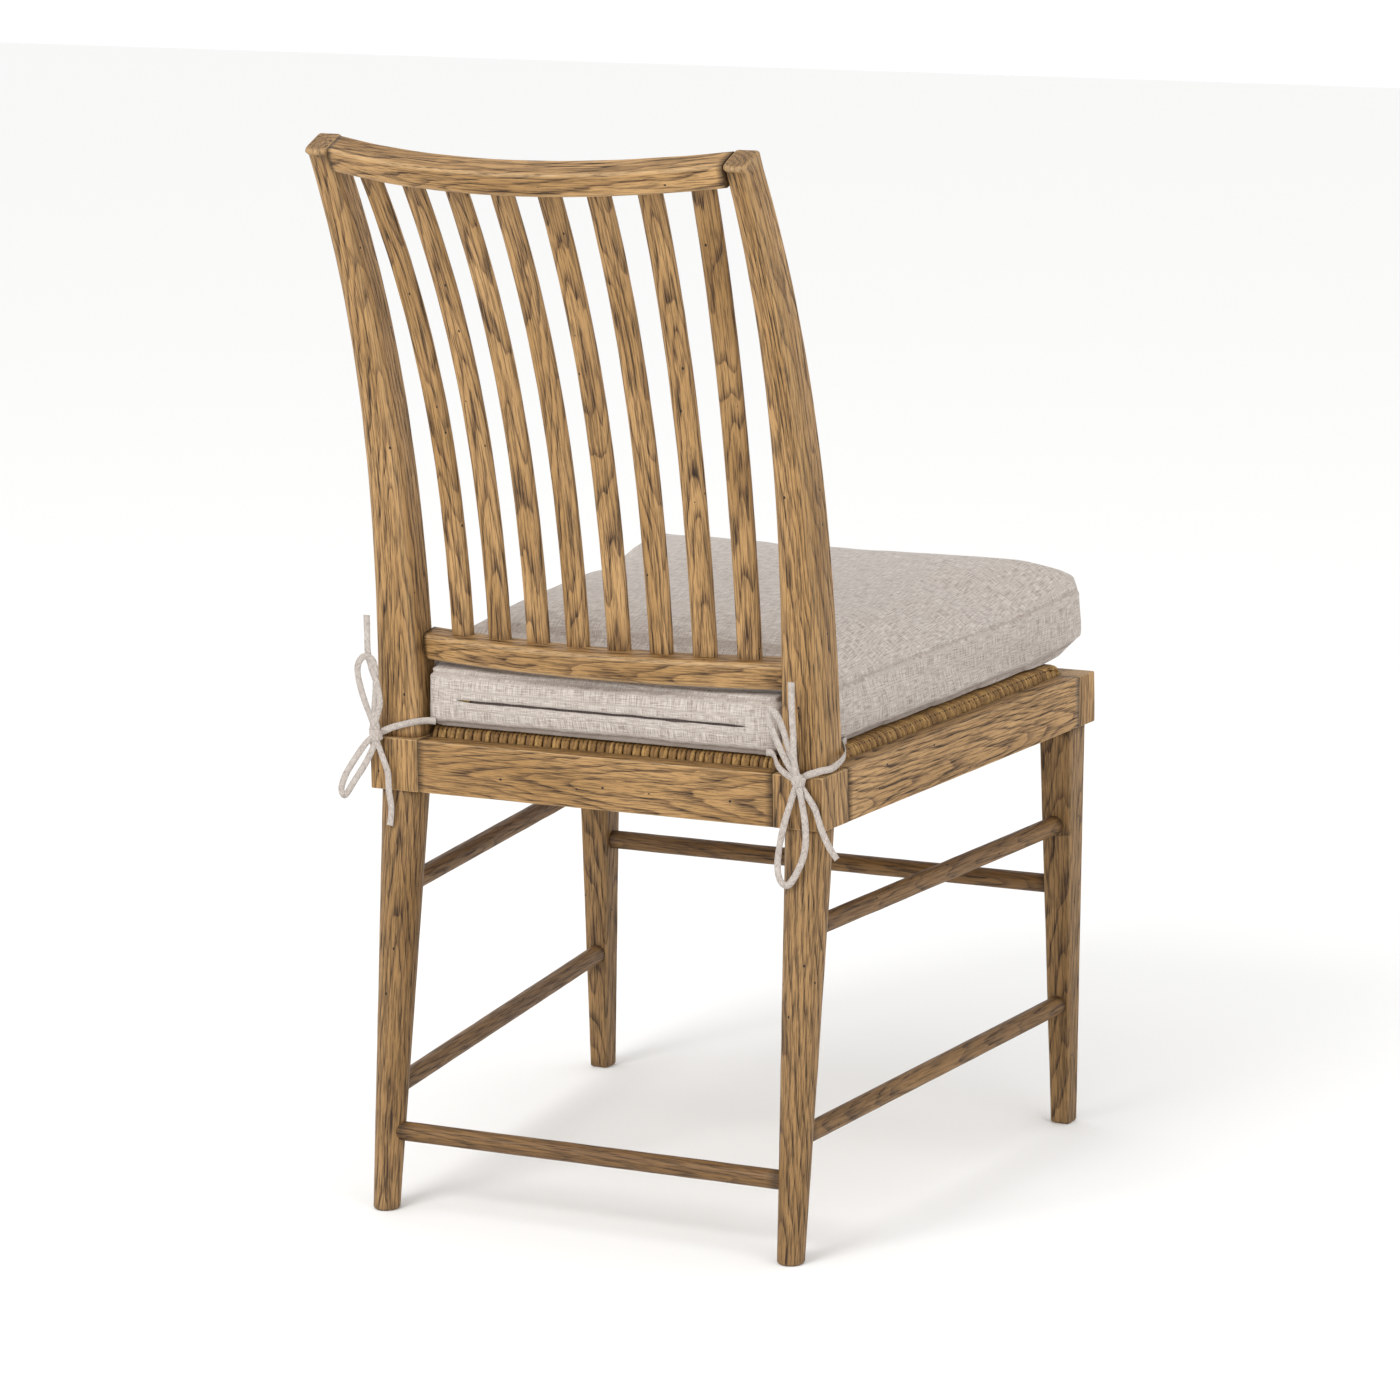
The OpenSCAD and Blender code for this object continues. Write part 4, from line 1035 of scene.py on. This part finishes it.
def smooth_path(points, steps=8):
    """A curve through the points, in short steps (Catmull-Rom)."""
    p, out = [Vector(q) for q in points], []
    for i in range(len(p) - 1):
        a, b, c, d = p[max(i - 1, 0)], p[i], p[i + 1], p[min(i + 2, len(p) - 1)]
        for k in range(steps):
            t = k / steps
            out.append(b + t * ((c - a) / 2 + t * ((a - 2.5 * b + 2 * c - d / 2)
                                                   + t * (1.5 * (b - c) + (d - a) / 2))))
    return out + [p[-1]]


def linen_piece(name, verts, faces, cloth_places, replaced):
    mesh = mesh_of(name, verts, faces)
    note(mesh, "cloth", "FLOAT_VECTOR", cloth_places)
    mesh.materials.append(linen)
    return seat_piece(name, mesh, "ribbon", replaced)


def knot(side, centre, tilt):
    """A half bow pulled tight: a core of folded tape with one turn wrapped over it."""
    verts, faces, at = [], [], []
    for size, turns in (((6.6, 4.0, 6.0), 0), ((3.9, 5.0, 6.9), tilt), ((7.4, 3.4, 3.6), -tilt * 0.8)):
        base, rows, columns = len(verts), 12, 20
        roll = Matrix.Rotation(turns, 3, "Y")
        for i in range(rows + 1):
            v = math.pi * i / rows
            for j in range(columns):
                u = 2 * math.pi * j / columns
                # squarer than a ball, as tape folds flat over itself
                p = Vector((math.copysign(abs(math.cos(v)) ** 0.75, math.cos(v)),
                            math.sin(v) * math.sin(u), math.sin(v) * math.cos(u)))
                lump = 1 + 0.10 * noise.noise(p * 2.3 + Vector((centre[0], size[0], 0)))
                q = roll @ Vector((p.x * size[0], p.y * size[1], p.z * size[2])) * lump
                verts.append(q + Vector(centre))
                at.append((q.z, q.x + q.y, q.x + 31))
        faces += ring_faces(columns, rows + 1, base, closed=False, inward=True)
    return linen_piece("knot_" + side, verts, faces, at, "tie_knot_" + side)


for side, centre, tilt in (("left", (222, 219.4, 443), 0.5), ("right", (-211, 219.4, 437), -0.45)):
    made_knot = knot(side, centre, tilt)
    for which in ("inner", "outer"):
        name = "tie_%s_%s" % (side, which)
        hand, points = routes[name]
        line = smooth_path(points)
        verts, at, run, across = [], [], 0.0, None
        for k, p in enumerate(line):
            along = (line[min(k + 1, len(line) - 1)] - line[max(k - 1, 0)]).normalized()
            back = max(0.0, min(1.0, (p.y - seat_back + 18) / 16))
            out = Vector((p.x - hand * 207.5, p.y - post_y(seat_top), 0)).normalized() * (1 - back)
            want = along.cross(out + Vector((0, back, 0))).normalized()
            # the tape turns over gradually, not in one place
            if across is not None:
                want = want if want.dot(across) > 0 else -want
                want = (across * 1.6 + want).normalized()
            across = (want - along * want.dot(along)).normalized()
            if k:
                run += (p - line[k - 1]).length
            width = 3.05 + 0.3 * noise.noise(Vector((run * 0.05, hand * 7.0, len(points))))
            if run < 2 or k == len(line) - 1:
                width = 3.2
            face = across.cross(along)
            bow = 0.35 * noise.noise(Vector((run * 0.11, 3.0, hand)))
            for sx, sy in ((-1, -1), (1, -1), (1, 1), (-1, 1)):
                verts.append(p + across * sx * width + face * (sy * 0.42 + sx * bow))
                at.append((sx * 3.8 + 1.0 * sy, run, run + sx * 3.8))
        tape_made = linen_piece("ribbon_%s_%s" % (side, which), verts, ring_faces(4, len(line)), at, name)
